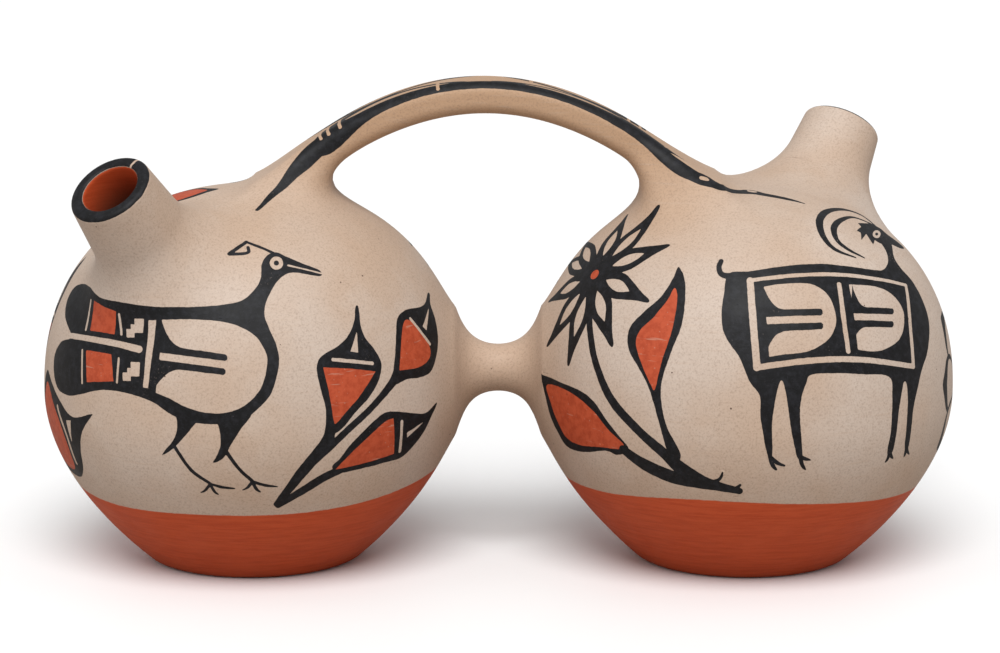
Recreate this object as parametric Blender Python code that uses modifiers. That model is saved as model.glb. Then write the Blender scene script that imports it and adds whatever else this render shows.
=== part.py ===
"""Double canteen: two round jars joined by a short tube and an arched handle, each with a leaning spout.

The clay pieces are modelled as the potter makes and joins them: a base, wall, shoulder and spout for each
jar, then the tube and the handle that tie the two jars together.
"""
import math

import bmesh
import bpy
from mathutils import Matrix, Vector

# Jars, sizes in metres
JAR_RADIUS = 0.092
JAR_GAP = 0.032
EQUATOR_HEIGHT = 0.075
SHOULDER_RISE = 0.090
SHOULDER_FULLNESS = 2.2
FOOT_RADIUS = 0.0435
FOOT_CORNER = 0.008
BELLY_CURVE = 1.85
WALL = 0.006
FLOOR = 0.007
BASE_HEIGHT = 0.0355
SHOULDER_JOINT_RISE = 0.042

# Spouts, angles in degrees: lean from upright, swing of the right one around its jar from +X
LEFT_SPOUT_CENTRE_RISE = -0.007
RIGHT_SPOUT_CENTRE_RISE = 0.007
SPOUT_LEAN = 40.5
SPOUT_SWING = 54.0
NECK_LENGTH = 0.023
RIM_RADIUS = 0.0175
SPOUT_WALL = 0.0055
SPOUT_FLARE = 0.028
LIP_ROUND = 0.0018

# Connecting tube
TUBE_RISE = 0.009
TUBE_WAIST_RADIUS = 0.0108
TUBE_WALL = 0.0045
TUBE_FLARE = 0.020
TUBE_FLARE_TURN = 63.0

# Handle
HANDLE_RISE = 0.0475
HANDLE_SHIFT = -0.0055
HANDLE_THICKNESS = 0.0140
HANDLE_WIDTH = 0.028
HANDLE_EDGE_ROUND = 0.0045
HANDLE_FOOT_INSET = 0.010
HANDLE_FOOT_SINK = 0.0075
HANDLE_FOOT_SCALE = 2.2
HANDLE_FLARE_LENGTH = 0.034

# Joints: the gap left for slip, how early a flare stops short of the jar, how deep a foot reaches in
JOINT_GAP = 0.0003
SKIRT_STOP = 15.0
SKIRT_SINK = 0.024

# Where a spout's drill starts and ends, as shares of the way out to the jar's skin
DRILL_START = 0.5
DRILL_END = 1.5

# How finely the round shapes are divided
JAR_SEGMENTS = 48
SPOUT_SEGMENTS = 36
TUBE_SEGMENTS = 32
HANDLE_STATIONS = 31
FLARE_POINTS = 7
CORNER_POINTS = 3
BASE_RINGS = 4
WALL_RINGS = 7
DOME_RINGS = 8

# Points closer than this are one point
WELD = 0.00001

CREAM_SLIP = (0.58, 0.44, 0.33)
CREAM_ROUGHNESS = 0.55
RED_SLIP = (0.34, 0.070, 0.028)
RED_ROUGHNESS = 0.50

# Places that follow from the sizes
HALF_SPACING = JAR_RADIUS + JAR_GAP / 2
JAR_TOP = EQUATOR_HEIGHT + SHOULDER_RISE
SHOULDER_JOINT = EQUATOR_HEIGHT + SHOULDER_JOINT_RISE
TUBE_HEIGHT = EQUATOR_HEIGHT + TUBE_RISE


def clear_scene():
    """Start from nothing."""
    for thing in list(bpy.data.objects):
        bpy.data.objects.remove(thing, do_unlink=True)
    for group in list(bpy.data.collections):
        bpy.data.collections.remove(group)


def make_collection(name):
    """A new collection under the scene."""
    group = bpy.data.collections.new(name)
    bpy.context.scene.collection.children.link(group)
    return group


def make_material(name, colour, roughness):
    """One plain fired-clay finish."""
    material = bpy.data.materials.new(name)
    material.use_nodes = True
    shader = material.node_tree.nodes["Principled BSDF"]
    shader.inputs["Base Color"].default_value = (*colour, 1.0)
    shader.inputs["Roughness"].default_value = roughness
    shader.inputs["Metallic"].default_value = 0.0
    return material


def belly_point(height, inset):
    """A point of the jar's side below the equator, moved inward by the inset, as (radius, height)."""
    drop = max(0.0, (EQUATOR_HEIGHT - height) / EQUATOR_HEIGHT)
    swell = JAR_RADIUS - FOOT_RADIUS
    radius = FOOT_RADIUS + swell * (1.0 - drop ** BELLY_CURVE)
    slope = swell * BELLY_CURVE * drop ** (BELLY_CURVE - 1.0) / EQUATOR_HEIGHT
    outward = Vector((1.0, -slope)).normalized()
    return Vector((radius, height)) - outward * inset


def dome_point(turn, inset):
    """A point of the jar's dome, at a turn of 0 at the equator to 1 at the pole, moved inward by the inset."""
    angle = turn * math.pi / 2
    power = 2.0 / SHOULDER_FULLNESS
    across = max(0.0, math.cos(angle)) ** power
    up = math.sin(angle) ** power
    outward = Vector((across ** (SHOULDER_FULLNESS - 1.0) / JAR_RADIUS,
                      up ** (SHOULDER_FULLNESS - 1.0) / SHOULDER_RISE)).normalized()
    point = Vector((JAR_RADIUS * across, EQUATOR_HEIGHT + SHOULDER_RISE * up)) - outward * inset
    return Vector((max(0.0, point.x), point.y)) if turn < 1.0 else Vector((0.0, point.y))


def dome_turn(height):
    """The turn at which the dome passes a height."""
    up = (height - EQUATOR_HEIGHT) / SHOULDER_RISE
    return math.asin(up ** (SHOULDER_FULLNESS / 2.0)) / (math.pi / 2)


def spread(start, stop, count):
    """Evenly spaced values from start to stop, both included."""
    return [start + (stop - start) * index / count for index in range(count + 1)]


def belly_points(low, high, inset, count):
    """Points of the side below the equator, evenly spaced in height."""
    return [belly_point(height, inset) for height in spread(low, high, count)]


def dome_points(low_turn, high_turn, inset, count):
    """Points of the dome, evenly spaced in turn."""
    return [dome_point(turn, inset) for turn in spread(low_turn, high_turn, count)]


def foot_corner():
    """The rounded edge between the flat underside and the side, from the underside outward."""
    steepness = math.atan2(EQUATOR_HEIGHT, (JAR_RADIUS - FOOT_RADIUS) * BELLY_CURVE)
    flat_end = FOOT_RADIUS - FOOT_CORNER * math.tan(steepness / 2)
    points = []
    for angle in spread(-math.pi / 2, -math.pi / 2 + steepness, CORNER_POINTS):
        points.append(Vector((flat_end + FOOT_CORNER * math.cos(angle),
                              FOOT_CORNER + FOOT_CORNER * math.sin(angle))))
    return points


def floor_edge_height():
    """Height on the outer side whose inward offset lands on the inner floor."""
    low, high = 0.0, BASE_HEIGHT
    for _ in range(40):
        middle = (low + high) / 2
        if belly_point(middle, WALL).y < FLOOR:
            low = middle
        else:
            high = middle
    return high


def base_outline():
    """Inner floor, inner side, joint, outer side, rounded foot and flat underside."""
    top = BASE_HEIGHT - JOINT_GAP / 2
    corner = foot_corner()
    inner = [Vector((0.0, FLOOR))] + belly_points(floor_edge_height(), top, WALL, BASE_RINGS)
    outer = belly_points(corner[-1].y, top, 0.0, BASE_RINGS)[1:]
    return inner + outer[::-1] + corner[::-1] + [Vector((0.0, 0.0))]


def wall_outline():
    """Closed outline of the wall between the base joint and the shoulder joint."""
    bottom = BASE_HEIGHT + JOINT_GAP / 2
    top = dome_turn(SHOULDER_JOINT - JOINT_GAP / 2)
    belly_rings = WALL_RINGS // 2
    dome_rings = WALL_RINGS - belly_rings

    def side(inset):
        below = belly_points(bottom, EQUATOR_HEIGHT, inset, belly_rings)
        return below + dome_points(0.0, top, inset, dome_rings)[1:]

    return side(0.0)[::-1] + side(WALL)


def shoulder_outline():
    """Outline of the dome from its pole down to the joint and back up the inside."""
    bottom = dome_turn(SHOULDER_JOINT + JOINT_GAP / 2)
    outer = dome_points(bottom, 1.0, 0.0, DOME_RINGS)
    inner = dome_points(bottom, 1.0, WALL, DOME_RINGS)
    return outer[::-1] + inner


def gauge_outline():
    """The whole jar as a solid, grown by the joint gap: it trims whatever is joined onto the jar."""
    belly = belly_points(0.0, EQUATOR_HEIGHT, -JOINT_GAP, BASE_RINGS + WALL_RINGS // 2)
    dome = dome_points(0.0, 1.0, -JOINT_GAP, DOME_RINGS + WALL_RINGS)
    return dome[::-1] + belly[-2::-1] + [Vector((0.0, -JOINT_GAP))]


def jar_reach(centre_rise):
    """Distance to the jar's outside along a spout's axis, from where that axis crosses the jar's own."""
    lean = math.radians(SPOUT_LEAN)
    low, high = 0.0, JAR_RADIUS + SHOULDER_RISE
    for _ in range(50):
        middle = (low + high) / 2
        across = middle * math.sin(lean) / JAR_RADIUS
        up = (centre_rise + middle * math.cos(lean)) / SHOULDER_RISE
        if across ** SHOULDER_FULLNESS + up ** SHOULDER_FULLNESS < 1.0:
            low = middle
        else:
            high = middle
    return low


def spout_outline(reach):
    """Closed outline of a spout along its own axis: rounded lip, neck, flared skirt and bore."""
    flare_radius = RIM_RADIUS + SPOUT_FLARE
    flare_start = math.sqrt((reach + SPOUT_FLARE) ** 2 - flare_radius ** 2)
    turn = math.atan2(flare_start, flare_radius) - math.radians(SKIRT_STOP)
    rim = flare_start + NECK_LENGTH
    bore = RIM_RADIUS - SPOUT_WALL
    points = []
    for angle in spread(math.pi / 2, 0.0, CORNER_POINTS):
        points.append(Vector((RIM_RADIUS - LIP_ROUND + LIP_ROUND * math.cos(angle),
                              rim - LIP_ROUND + LIP_ROUND * math.sin(angle))))
    for angle in spread(0.0, turn, FLARE_POINTS):
        points.append(Vector((flare_radius - SPOUT_FLARE * math.cos(angle),
                              flare_start - SPOUT_FLARE * math.sin(angle))))
    bottom = points[-1].y - SKIRT_SINK
    points.append(Vector((points[-1].x, bottom)))
    points.append(Vector((bore, bottom)))
    for angle in spread(math.pi, math.pi / 2, CORNER_POINTS):
        points.append(Vector((bore + LIP_ROUND + LIP_ROUND * math.cos(angle),
                              rim - LIP_ROUND + LIP_ROUND * math.sin(angle))))
    return points


def tube_outline():
    """Closed outline of the connecting tube along its own axis: a waisted outside and a straight bore."""
    half = []
    for angle in spread(0.0, math.radians(TUBE_FLARE_TURN), FLARE_POINTS):
        half.append(Vector((TUBE_WAIST_RADIUS + TUBE_FLARE * (1.0 - math.cos(angle)),
                            TUBE_FLARE * math.sin(angle))))
    end = half[-1].y + SKIRT_SINK
    half.append(Vector((half[-1].x, end)))
    mirrored = [Vector((point.x, -point.y)) for point in half[1:]]
    bore = TUBE_WAIST_RADIUS - TUBE_WALL
    return half[::-1] + mirrored + [Vector((bore, -end)), Vector((bore, end))]


def bore_outline(radius, low, high):
    """A plain round cutter."""
    return [Vector((0.0, high)), Vector((radius, high)), Vector((radius, low)), Vector((0.0, low))]


def turned(name, outline, segments, material, group, place=None):
    """Turn an outline of (radius, height) points around its axis and put it in place."""
    mesh = bpy.data.meshes.new(name)
    points = [(point.x, 0.0, point.y) for point in outline]
    edges = [(index, index + 1) for index in range(len(points) - 1)]
    if outline[0].x > 0.0:
        edges.append((len(points) - 1, 0))
    mesh.from_pydata(points, edges, [])
    thing = bpy.data.objects.new(name, mesh)
    group.objects.link(thing)
    thing.matrix_world = place or Matrix.Identity(4)
    screw = thing.modifiers.new("turn", "SCREW")
    screw.axis = "Z"
    screw.steps = segments
    screw.render_steps = segments
    screw.use_merge_vertices = True
    screw.merge_threshold = WELD
    if material:
        mesh.materials.append(material)
    else:
        thing.hide_render = True
        thing.display_type = "WIRE"
    return thing


def cut(thing, cutter):
    """Take the cutter's volume out of a piece."""
    boolean = thing.modifiers.new("cut by " + cutter.name, "BOOLEAN")
    boolean.operation = "DIFFERENCE"
    boolean.solver = "EXACT"
    boolean.object = cutter


def strap_section(group):
    """Rounded rectangle that the handle is drawn with."""
    curve = bpy.data.curves.new("strap_section", "CURVE")
    half_width = HANDLE_WIDTH / 2 - HANDLE_EDGE_ROUND
    half_height = HANDLE_THICKNESS / 2 - HANDLE_EDGE_ROUND
    points = []
    for quarter, (side, up) in enumerate([(1, 1), (-1, 1), (-1, -1), (1, -1)]):
        for angle in spread(quarter * math.pi / 2, (quarter + 1) * math.pi / 2, CORNER_POINTS):
            points.append((side * half_width + HANDLE_EDGE_ROUND * math.cos(angle),
                           up * half_height + HANDLE_EDGE_ROUND * math.sin(angle)))
    spline = curve.splines.new("POLY")
    spline.points.add(len(points) - 1)
    for index, (across, up) in enumerate(points):
        spline.points[index].co = (across, up, 0.0, 1.0)
    spline.use_cyclic_u = True
    thing = bpy.data.objects.new("strap_section", curve)
    group.objects.link(thing)
    thing.hide_render = True
    thing.display_type = "WIRE"
    return thing


def handle_path(group, section):
    """The arched handle as a curve: a parabola from inside one jar's dome to inside the other's."""
    half_span = HALF_SPACING - HANDLE_FOOT_INSET
    crown = JAR_TOP + HANDLE_RISE - HANDLE_THICKNESS / 2
    foot = JAR_TOP - HANDLE_FOOT_SINK
    curve = bpy.data.curves.new("handle_path", "CURVE")
    curve.dimensions = "3D"
    curve.twist_mode = "Z_UP"
    curve.bevel_mode = "OBJECT"
    curve.bevel_object = section
    curve.use_fill_caps = True
    spline = curve.splines.new("POLY")
    spline.points.add(HANDLE_STATIONS - 1)
    for index, along in enumerate(spread(-half_span, half_span, HANDLE_STATIONS - 1)):
        height = crown - (crown - foot) * (along / half_span) ** 2
        steepness = -2.0 * (crown - foot) * along / half_span ** 2
        near_foot = 1.0 - min(1.0, (half_span - abs(along)) / HANDLE_FLARE_LENGTH)
        growth = (HANDLE_FOOT_SCALE - 1.0) * near_foot * near_foot * (3.0 - 2.0 * near_foot)
        inward = Vector((steepness, 0.0, -1.0)).normalized() * growth * HANDLE_THICKNESS / 2
        spline.points[index].co = (HANDLE_SHIFT + along + inward.x, 0.0, height + inward.z, 1.0)
        spline.points[index].radius = 1.0 + growth
    thing = bpy.data.objects.new("handle_path", curve)
    group.objects.link(thing)
    return thing


def handle_from(path, material, group):
    """The handle's curve as a closed mesh."""
    bpy.context.view_layer.update()
    drawn = path.evaluated_get(bpy.context.evaluated_depsgraph_get())
    mesh = bpy.data.meshes.new_from_object(drawn)
    work = bmesh.new()
    work.from_mesh(mesh)
    bmesh.ops.remove_doubles(work, verts=work.verts, dist=WELD)
    bmesh.ops.recalc_face_normals(work, faces=work.faces)
    work.to_mesh(mesh)
    work.free()
    mesh.materials.clear()
    mesh.materials.append(material)
    thing = bpy.data.objects.new("handle", mesh)
    thing.matrix_world = path.matrix_world.copy()
    group.objects.link(thing)
    bpy.data.objects.remove(path, do_unlink=True)
    return thing


def spout_place(side, swing, centre_rise):
    """Where a spout stands: on the jar's axis, tipped by the lean and turned to its swing."""
    centre = Matrix.Translation((side * HALF_SPACING, 0.0, EQUATOR_HEIGHT + centre_rise))
    turn = Matrix.Rotation(math.radians(swing), 4, "Z")
    return centre @ turn @ Matrix.Rotation(math.radians(SPOUT_LEAN), 4, "Y")


def build():
    """Make every piece, then trim the joined-on pieces and drill the jars."""
    clear_scene()
    canteen = make_collection("double_canteen")
    cutters = make_collection("cutters")
    cream = make_material("cream_slip", CREAM_SLIP, CREAM_ROUGHNESS)
    red = make_material("red_slip", RED_SLIP, RED_ROUGHNESS)

    tube_place = Matrix.Translation((0.0, 0.0, TUBE_HEIGHT)) @ Matrix.Rotation(math.pi / 2, 4, "Y")
    tube = turned("connecting_tube", tube_outline(), TUBE_SEGMENTS, cream, canteen, tube_place)
    tube_bore = turned("tube_bore", bore_outline(TUBE_WAIST_RADIUS - TUBE_WALL, -HALF_SPACING, HALF_SPACING),
                       TUBE_SEGMENTS, None, cutters, tube_place)
    handle = handle_from(handle_path(canteen, strap_section(cutters)), cream, canteen)

    jars = [("left", -1, SPOUT_SWING + 180.0, LEFT_SPOUT_CENTRE_RISE),
            ("right", 1, SPOUT_SWING, RIGHT_SPOUT_CENTRE_RISE)]
    for name, side, swing, centre_rise in jars:
        axis = Matrix.Translation((side * HALF_SPACING, 0.0, 0.0))
        turned(name + "_base", base_outline(), JAR_SEGMENTS, red, canteen, axis)
        wall = turned(name + "_wall", wall_outline(), JAR_SEGMENTS, cream, canteen, axis)
        shoulder = turned(name + "_shoulder", shoulder_outline(), JAR_SEGMENTS, cream, canteen, axis)
        gauge = turned(name + "_gauge", gauge_outline(), JAR_SEGMENTS, None, cutters, axis)
        place = spout_place(side, swing, centre_rise)
        reach = jar_reach(centre_rise)
        spout = turned(name + "_spout", spout_outline(reach), SPOUT_SEGMENTS, cream, canteen, place)
        drill = bore_outline(RIM_RADIUS - SPOUT_WALL, reach * DRILL_START, reach * DRILL_END)
        spout_bore = turned(name + "_spout_bore", drill, SPOUT_SEGMENTS, None, cutters, place)
        for piece in (wall, shoulder):
            cut(piece, spout_bore)
            cut(piece, tube_bore)
        for piece in (spout, tube, handle):
            cut(piece, gauge)


build()
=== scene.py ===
"""Painted double canteen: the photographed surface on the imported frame.

The outer skin and the hollow are described by signed distances, so that the jars, spouts, tube and handle
flow into each other the way smeared clay does. Each piece is the part of that one form inside its own cuts.
The painting is laid out flat around each jar and stored on the mesh as distances to the painted edges.
"""
import math
from functools import lru_cache
from types import SimpleNamespace

import bmesh
import bpy
import numpy as np
from bpy.props import FloatProperty, FloatVectorProperty, PointerProperty
from bpy.types import Operator, Panel, PropertyGroup
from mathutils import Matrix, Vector


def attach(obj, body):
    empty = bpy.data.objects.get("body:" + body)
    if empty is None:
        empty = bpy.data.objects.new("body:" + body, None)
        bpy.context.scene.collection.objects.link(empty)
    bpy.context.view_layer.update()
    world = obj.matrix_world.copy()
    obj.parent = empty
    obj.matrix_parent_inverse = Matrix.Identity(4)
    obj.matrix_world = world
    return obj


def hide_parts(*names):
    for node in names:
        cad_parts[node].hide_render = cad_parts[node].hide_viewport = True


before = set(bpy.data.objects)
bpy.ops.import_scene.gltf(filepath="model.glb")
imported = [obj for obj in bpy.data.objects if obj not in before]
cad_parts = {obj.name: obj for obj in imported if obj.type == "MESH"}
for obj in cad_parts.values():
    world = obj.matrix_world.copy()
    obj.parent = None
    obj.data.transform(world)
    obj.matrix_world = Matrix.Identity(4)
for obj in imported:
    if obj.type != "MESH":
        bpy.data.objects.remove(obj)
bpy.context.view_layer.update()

bl_info = {
    "name": "Painted double canteen",
    "version": (1, 0, 0),
    "blender": (4, 5, 0),
    "location": "3D View > Sidebar > Canteen",
    "description": "Builds a hand-painted clay double canteen over its packed solids",
    "category": "Object",
}

UP = np.array([0.0, 0.0, 1.0])
MILLIMETRES = 1000.0
TINY = 1e-18
SIDES = ((-1, "left"), (1, "right"))
BLACK, RED, CREAM = "black", "red", "cream"

# Mesh steps and the cuts between pieces, in metres
JAR_STEP = 0.0030
STRAP_STEP = 0.0018
SPOUT_STEP = 0.0015
MARGIN = 0.006
TUBE_CUT = 0.013
TUBE_SPREAD = 0.050
SPOUT_PIECE = 0.034
STRAP_REACH = 0.118
STRAP_SPREAD = 0.050
CUT_SLACK = 1e-6

# Settling on the surface: the probe for its slope in metres, and the least square of a slope that counts
SLOPE_PROBE = 0.0002
LEAST_SLOPE = 0.05

# Camera, light and floor, with angles in degrees
CAMERA_TARGET = (0.0007, 0.0, 0.1024)
CAMERA_DISTANCE = 1.6
CAMERA_ELEVATION = 11.0
CAMERA_LENS = 130.76
KEY_ELEVATION = 54.0
KEY_AZIMUTH = 1.0
KEY_STRENGTH = 2.50
FILL_ELEVATION = 25.0
FILL_AZIMUTH = -62.0
FILL_STRENGTH = 0.18
SUN_SPREAD = math.radians(40.0)
WORLD_STRENGTH = 0.50
FLOOR_REACH = 8.0
FLOOR_ROUGHNESS = 0.5
FLOOR_BOUNCE = (0.44, 0.39, 0.35, 1.0)
WHITE = (1.0, 1.0, 1.0, 1.0)

# Lines of sight: their start before the target, their steps, and the share of the free way that a step takes
FACE_START = 0.12
STRAP_START = 0.25
SIGHT_STEPS = 80
SIGHT_SHARE = 0.9

# Painted faces: height of their middle, reach around the jar and out on the flares, and swing of the back's
FACE_HEIGHT = 0.0800
FACE_WRAP = -0.02
JAR_PAINT_REACH = 0.012
BACK_SWING = math.radians(14.0)

# Painting on the crowns: where it starts, and how far its eye stands off plumb, which gives it a right
CROWN_HEIGHT = 0.12
OFF_PLUMB = 0.001

# Brush work, in millimetres, with the end flower's petals
PAINT_REACH = 4.0
RED_UNDERLAP = 0.6
CURVE_STEPS = 6
PETAL_HALF_WIDTH = 6.7
END_PETALS = 8
END_PETAL_TURN = 36.5
END_PETAL_LENGTH = 41.0
END_PETAL_HALF_WIDTH = 13.0
BUD_BAR_HALF_WIDTH = 0.8
TAIL_LINE_HALF_WIDTH = 0.6
TOE_HALF_WIDTH = 0.7
HOOF_HALF_WIDTH = 0.9
PUPIL_SHARE = 0.4

# Tails of the strap's line as the camera sees them: millimetres right of its target, above it, and half width
LEFT_TAIL = [(-107, 51.3, 0.8), (-101.5, 56.8, 1.4), (-96, 62, 2.0), (-91, 68, 2.9), (-86.8, 72.5, 3.8),
             (-80.5, 79, 4.4)]
RIGHT_TAIL = [(72.7, 75.2, 3.2), (79.3, 70.2, 3.6), (86, 66.4, 3.4), (90, 64.8, 3.9), (94, 62.9, 2.8),
              (98.5, 61.3, 2.6), (105.7, 59.3, 2.2), (111, 59.2, 3.2), (116, 58.2, 2.2), (125.5, 56.4, 1.7),
              (134, 54.2, 0.5)]
BACK_TAIL_POINTS = 7
LINE_EYES = ((90.0, 65.2), (111.0, 59.5))

# The line along the strap's edge and the lights left in it, in metres
STRAP_LINE_LEFT, STRAP_LINE_RIGHT = -0.066, 0.066
STRAP_LINE_POINTS = 9
LINE_HALF_WIDTH = 0.0025
LINE_SPREAD = 0.6
LINE_INSET, LINE_DROP = 0.0026, 0.0012
LINE_LEFT_OUT, LINE_LEFT_DROP = 0.0018, 0.0038
BARS = (-0.0675, -0.0643, -0.0595, -0.0190, 0.0742)
BAR_HALF_WIDTH = 0.0008
BAR_ACROSS = np.array([0.0020, 0.0045, 0.0180])
BAR_DROP = np.array([0.0016, 0.0003, 0.0])
EYE_HALF_WIDTH = 0.0013
EYE_HALF_LENGTH = 0.0010
STRAP_PAINT_REACH = 0.003
STRAP_TOP_DEPTH = 0.001

# Black lips: how far they come down outside and inside and half their break's width, in millimetres
LIP_OUTSIDE, LIP_INSIDE = 1.3, 1.4
LIP_BREAK_HALF_WIDTH = 0.6
LIP_BREAK = math.radians(105.0)

# The bare line at a lip's inner edge, the outer share of its thickness and the reach around it, in metres
LIP_BARE = 0.0004
LIP_EDGE = 0.003
SPOUT_REACH = 0.03

# Red bands, each with a height at its jar's middle, a tilt and a bow, slip in the mouths, and tan slip
LEFT_BAND, LEFT_TILT, LEFT_BOW = 0.0360, 0.030, 0.47
RIGHT_BAND, RIGHT_TILT, RIGHT_BOW = 0.0428, -0.026, -1.0
# Slip in the mouths stops this deep, so the dark clay further in stands as painted shade in the bores
BORE_SLIP_DEPTH = 0.012
BORE_FADE = 0.020
SKIN_DEPTH = 0.0005
TAN_START, TAN_RISE = 0.120, 0.070
TAN_SPREAD = 1.5
TUBE_TAN = 0.55
TUBE_TAN_SPREAD, TUBE_TAN_REACH, TUBE_TAN_TOP = 1.6, 0.025, 0.13

# Finish of the clay: soft edges of slip and paint in millimetres, wear, sheen and relief
SLIP_EDGE, RED_EDGE, BLACK_EDGE = 0.25, 0.16, 0.12
BLACK_WEAR = 0.5
SHEEN = 0.27
BUMP_STRENGTH, BUMP_HEIGHT = 0.4, 0.00025
STREAK_STRETCH = (1.0, 1.0, 14.0)
SCRATCH_STRETCH = (1.0, 1.0, 12.0)

# Rounds of dividing faces: reach around painted edges, cuts, and the most that distances on a face may spread
ANY_SPREAD = 9.0
WIDE_ROUNDS = ((1.2, 1, ANY_SPREAD), (0.25, 2, ANY_SPREAD), (0.02, 1, 0.28))
CLOSE_ROUNDS = ((0.3, 2, ANY_SPREAD),)


def length(name, default, description):
    """A property that holds a size in metres."""
    return FloatProperty(name=name, default=default, description=description, unit="LENGTH", precision=4)


def angle(name, default, description):
    """A property that holds an angle, given here in degrees."""
    return FloatProperty(name=name, default=math.radians(default), description=description, subtype="ANGLE")


def number(name, default, description):
    """A property that holds a plain number."""
    return FloatProperty(name=name, default=default, description=description)


class CanteenSizes(PropertyGroup):
    """Sizes of the clay form."""

    jar_radius: length("Jar radius", 0.092, "Widest radius of a jar")
    jar_gap: length("Jar gap", 0.032, "Least distance between the jars")
    equator_height: length("Equator height", 0.075, "Height of the widest part")
    shoulder_rise: length("Shoulder rise", 0.090, "From the widest part to the top of the dome")
    shoulder_fullness: number("Shoulder fullness", 2.2, "2 is a round dome, more is fuller")
    foot_radius: length("Foot radius", 0.0458, "Radius where the side meets the standing plane")
    foot_corner: length("Foot corner", 0.008, "Rounding of the foot's edge")
    belly_curve: number("Belly curve", 1.92, "How the side draws in below the widest part")
    wall: length("Wall", 0.006, "Thickness of the jar walls")
    base_height: length("Base height", 0.0355, "Height of the joint between base and wall")
    shoulder_joint: length("Shoulder joint", 0.117, "Height of the joint between wall and shoulder")
    spout_lean: angle("Spout lean", 40.5, "Lean of both spouts from upright")
    left_swing: angle("Left spout swing", 54.0, "Turn of the left spout from the line of jars")
    right_swing: angle("Right spout swing", 55.5, "Turn of the right spout from the line of jars")
    left_centre_rise: length("Left spout centre", -0.007, "Where the left spout's axis crosses its jar's")
    right_centre_rise: length("Right spout centre", 0.007, "Where the right spout's axis crosses its jar's")
    left_reach: length("Left spout reach", 0.1416, "From that crossing to the left rim")
    right_reach: length("Right spout reach", 0.1315, "From that crossing to the right rim")
    rim_radius: length("Rim radius", 0.0178, "Outer radius of a spout's rim")
    spout_wall: length("Spout wall", 0.0055, "Thickness of a spout's lip")
    spout_taper: number("Spout taper", 0.10, "Growth of a spout's radius for each unit below its lip")
    left_flare: length("Left flare", 0.020,
                       "Radius of the clay that smears the left spout into its shoulder")
    right_flare: length("Right flare", 0.029,
                        "Radius of the clay that smears the right spout into its shoulder")
    lip_round: length("Lip round", 0.0020, "Rounding of the lips")
    tube_rise: length("Tube rise", 0.009, "Height of the tube above the widest part")
    tube_waist: length("Tube waist", 0.0106, "Least radius of the connecting tube")
    tube_bore: length("Tube bore", 0.0063, "Radius of the tube's bore")
    tube_flare: length("Tube flare", 0.021, "Radius of the tube's waisted outline")
    tube_blend: length("Tube blend", 0.014, "Reach of the clay smeared around the tube's ends")
    handle_rise: length("Handle rise", 0.0475, "Crown of the handle above the domes")
    handle_shift: length("Handle shift", -0.0060, "How far the crown sits to the left of the middle")
    handle_thickness: length("Handle thickness", 0.0145, "Thickness of the strap")
    handle_width: length("Handle width", 0.028, "Width of the strap, front to back")
    handle_edge: length("Handle edge", 0.0055, "Rounding of the strap's edges")
    handle_inset: length("Handle inset", 0.010, "How far inside the jar axes the strap ends")
    handle_sink: length("Handle sink", 0.0075, "How far below the dome tops the strap ends")
    handle_left_foot: number("Left foot", 1.45, "How much the strap swells at its left foot")
    handle_right_foot: number("Right foot", 1.9, "How much the strap swells at its right foot")
    handle_swell: length("Handle swell", 0.034, "Length of that swelling")
    handle_blend: length("Handle blend", 0.034, "Reach of the clay smeared around the feet")
    handle_left_blend: length("Left foot blend", 0.022,
                              "Reach of the smear on the outer side of the left foot")
    handle_joint: length("Handle joint", 0.172, "Height of the joint between handle and shoulders")
    waviness: length("Waviness", 0.00035, "How far the hand-smoothed skin wanders from true")


class Outline:
    """Signed distance to a closed outline around an axis, looked up in a fine table."""

    SPACING = 0.0006
    MARGIN = 0.040
    LAST_CELL = 1.001

    def __init__(self, points):
        """Work out the table from the points of the outline."""
        self.low = np.array([0.0, points[:, 1].min() - self.MARGIN])
        high = np.array([points[:, 0].max(), points[:, 1].max()]) + self.MARGIN
        self.count = np.ceil((high - self.low) / self.SPACING).astype(int) + 1
        across = self.low[0] + self.SPACING * np.arange(self.count[0])
        up = self.low[1] + self.SPACING * np.arange(self.count[1])
        grid = np.stack(np.meshgrid(across, up, indexing="ij"), -1).reshape(-1, 2)
        nearest = np.full(len(grid), np.inf)
        crossings = np.zeros(len(grid), int)
        for start, end in zip(points[:-1], points[1:]):
            along = end - start
            share = np.clip((grid - start) @ along / max(along @ along, TINY), 0.0, 1.0)
            gap = grid - start - share[:, None] * along
            nearest = np.minimum(nearest, np.einsum("ij,ij->i", gap, gap))
            spans = (start[1] <= grid[:, 1]) != (end[1] <= grid[:, 1])
            if along[1] != 0.0:
                reach = start[0] + (grid[:, 1] - start[1]) * along[0] / along[1]
                crossings += spans & (reach > grid[:, 0])
        signs = np.where(crossings % 2 == 1, -1.0, 1.0)
        self.table = (signs * np.sqrt(nearest)).reshape(self.count)

    def distance(self, across, up):
        """Distance at places across from the axis and up along it, read between four entries of the table."""
        place_x = np.clip((across - self.low[0]) / self.SPACING, 0.0, self.count[0] - self.LAST_CELL)
        place_y = np.clip((up - self.low[1]) / self.SPACING, 0.0, self.count[1] - self.LAST_CELL)
        left, below = place_x.astype(int), place_y.astype(int)
        right, above = left + 1, below + 1
        share_x, share_y = place_x - left, place_y - below
        low_row = self.table[left, below] * (1.0 - share_x) + self.table[right, below] * share_x
        high_row = self.table[left, above] * (1.0 - share_x) + self.table[right, above] * share_x
        return low_row * (1.0 - share_y) + high_row * share_y


def round_union(first, second, radius):
    """Union of two distances with a fillet of the given radius in the corner between them."""
    corner = np.hypot(np.maximum(radius - first, 0.0), np.maximum(radius - second, 0.0))
    return np.maximum(radius, np.minimum(first, second)) - corner


def smooth_union(first, second, reach):
    """Union of two distances that blend where they differ by less than the reach."""
    share = np.maximum(reach - np.abs(first - second), 0.0) / reach
    return np.minimum(first, second) - share ** 3 * reach / 6.0


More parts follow.
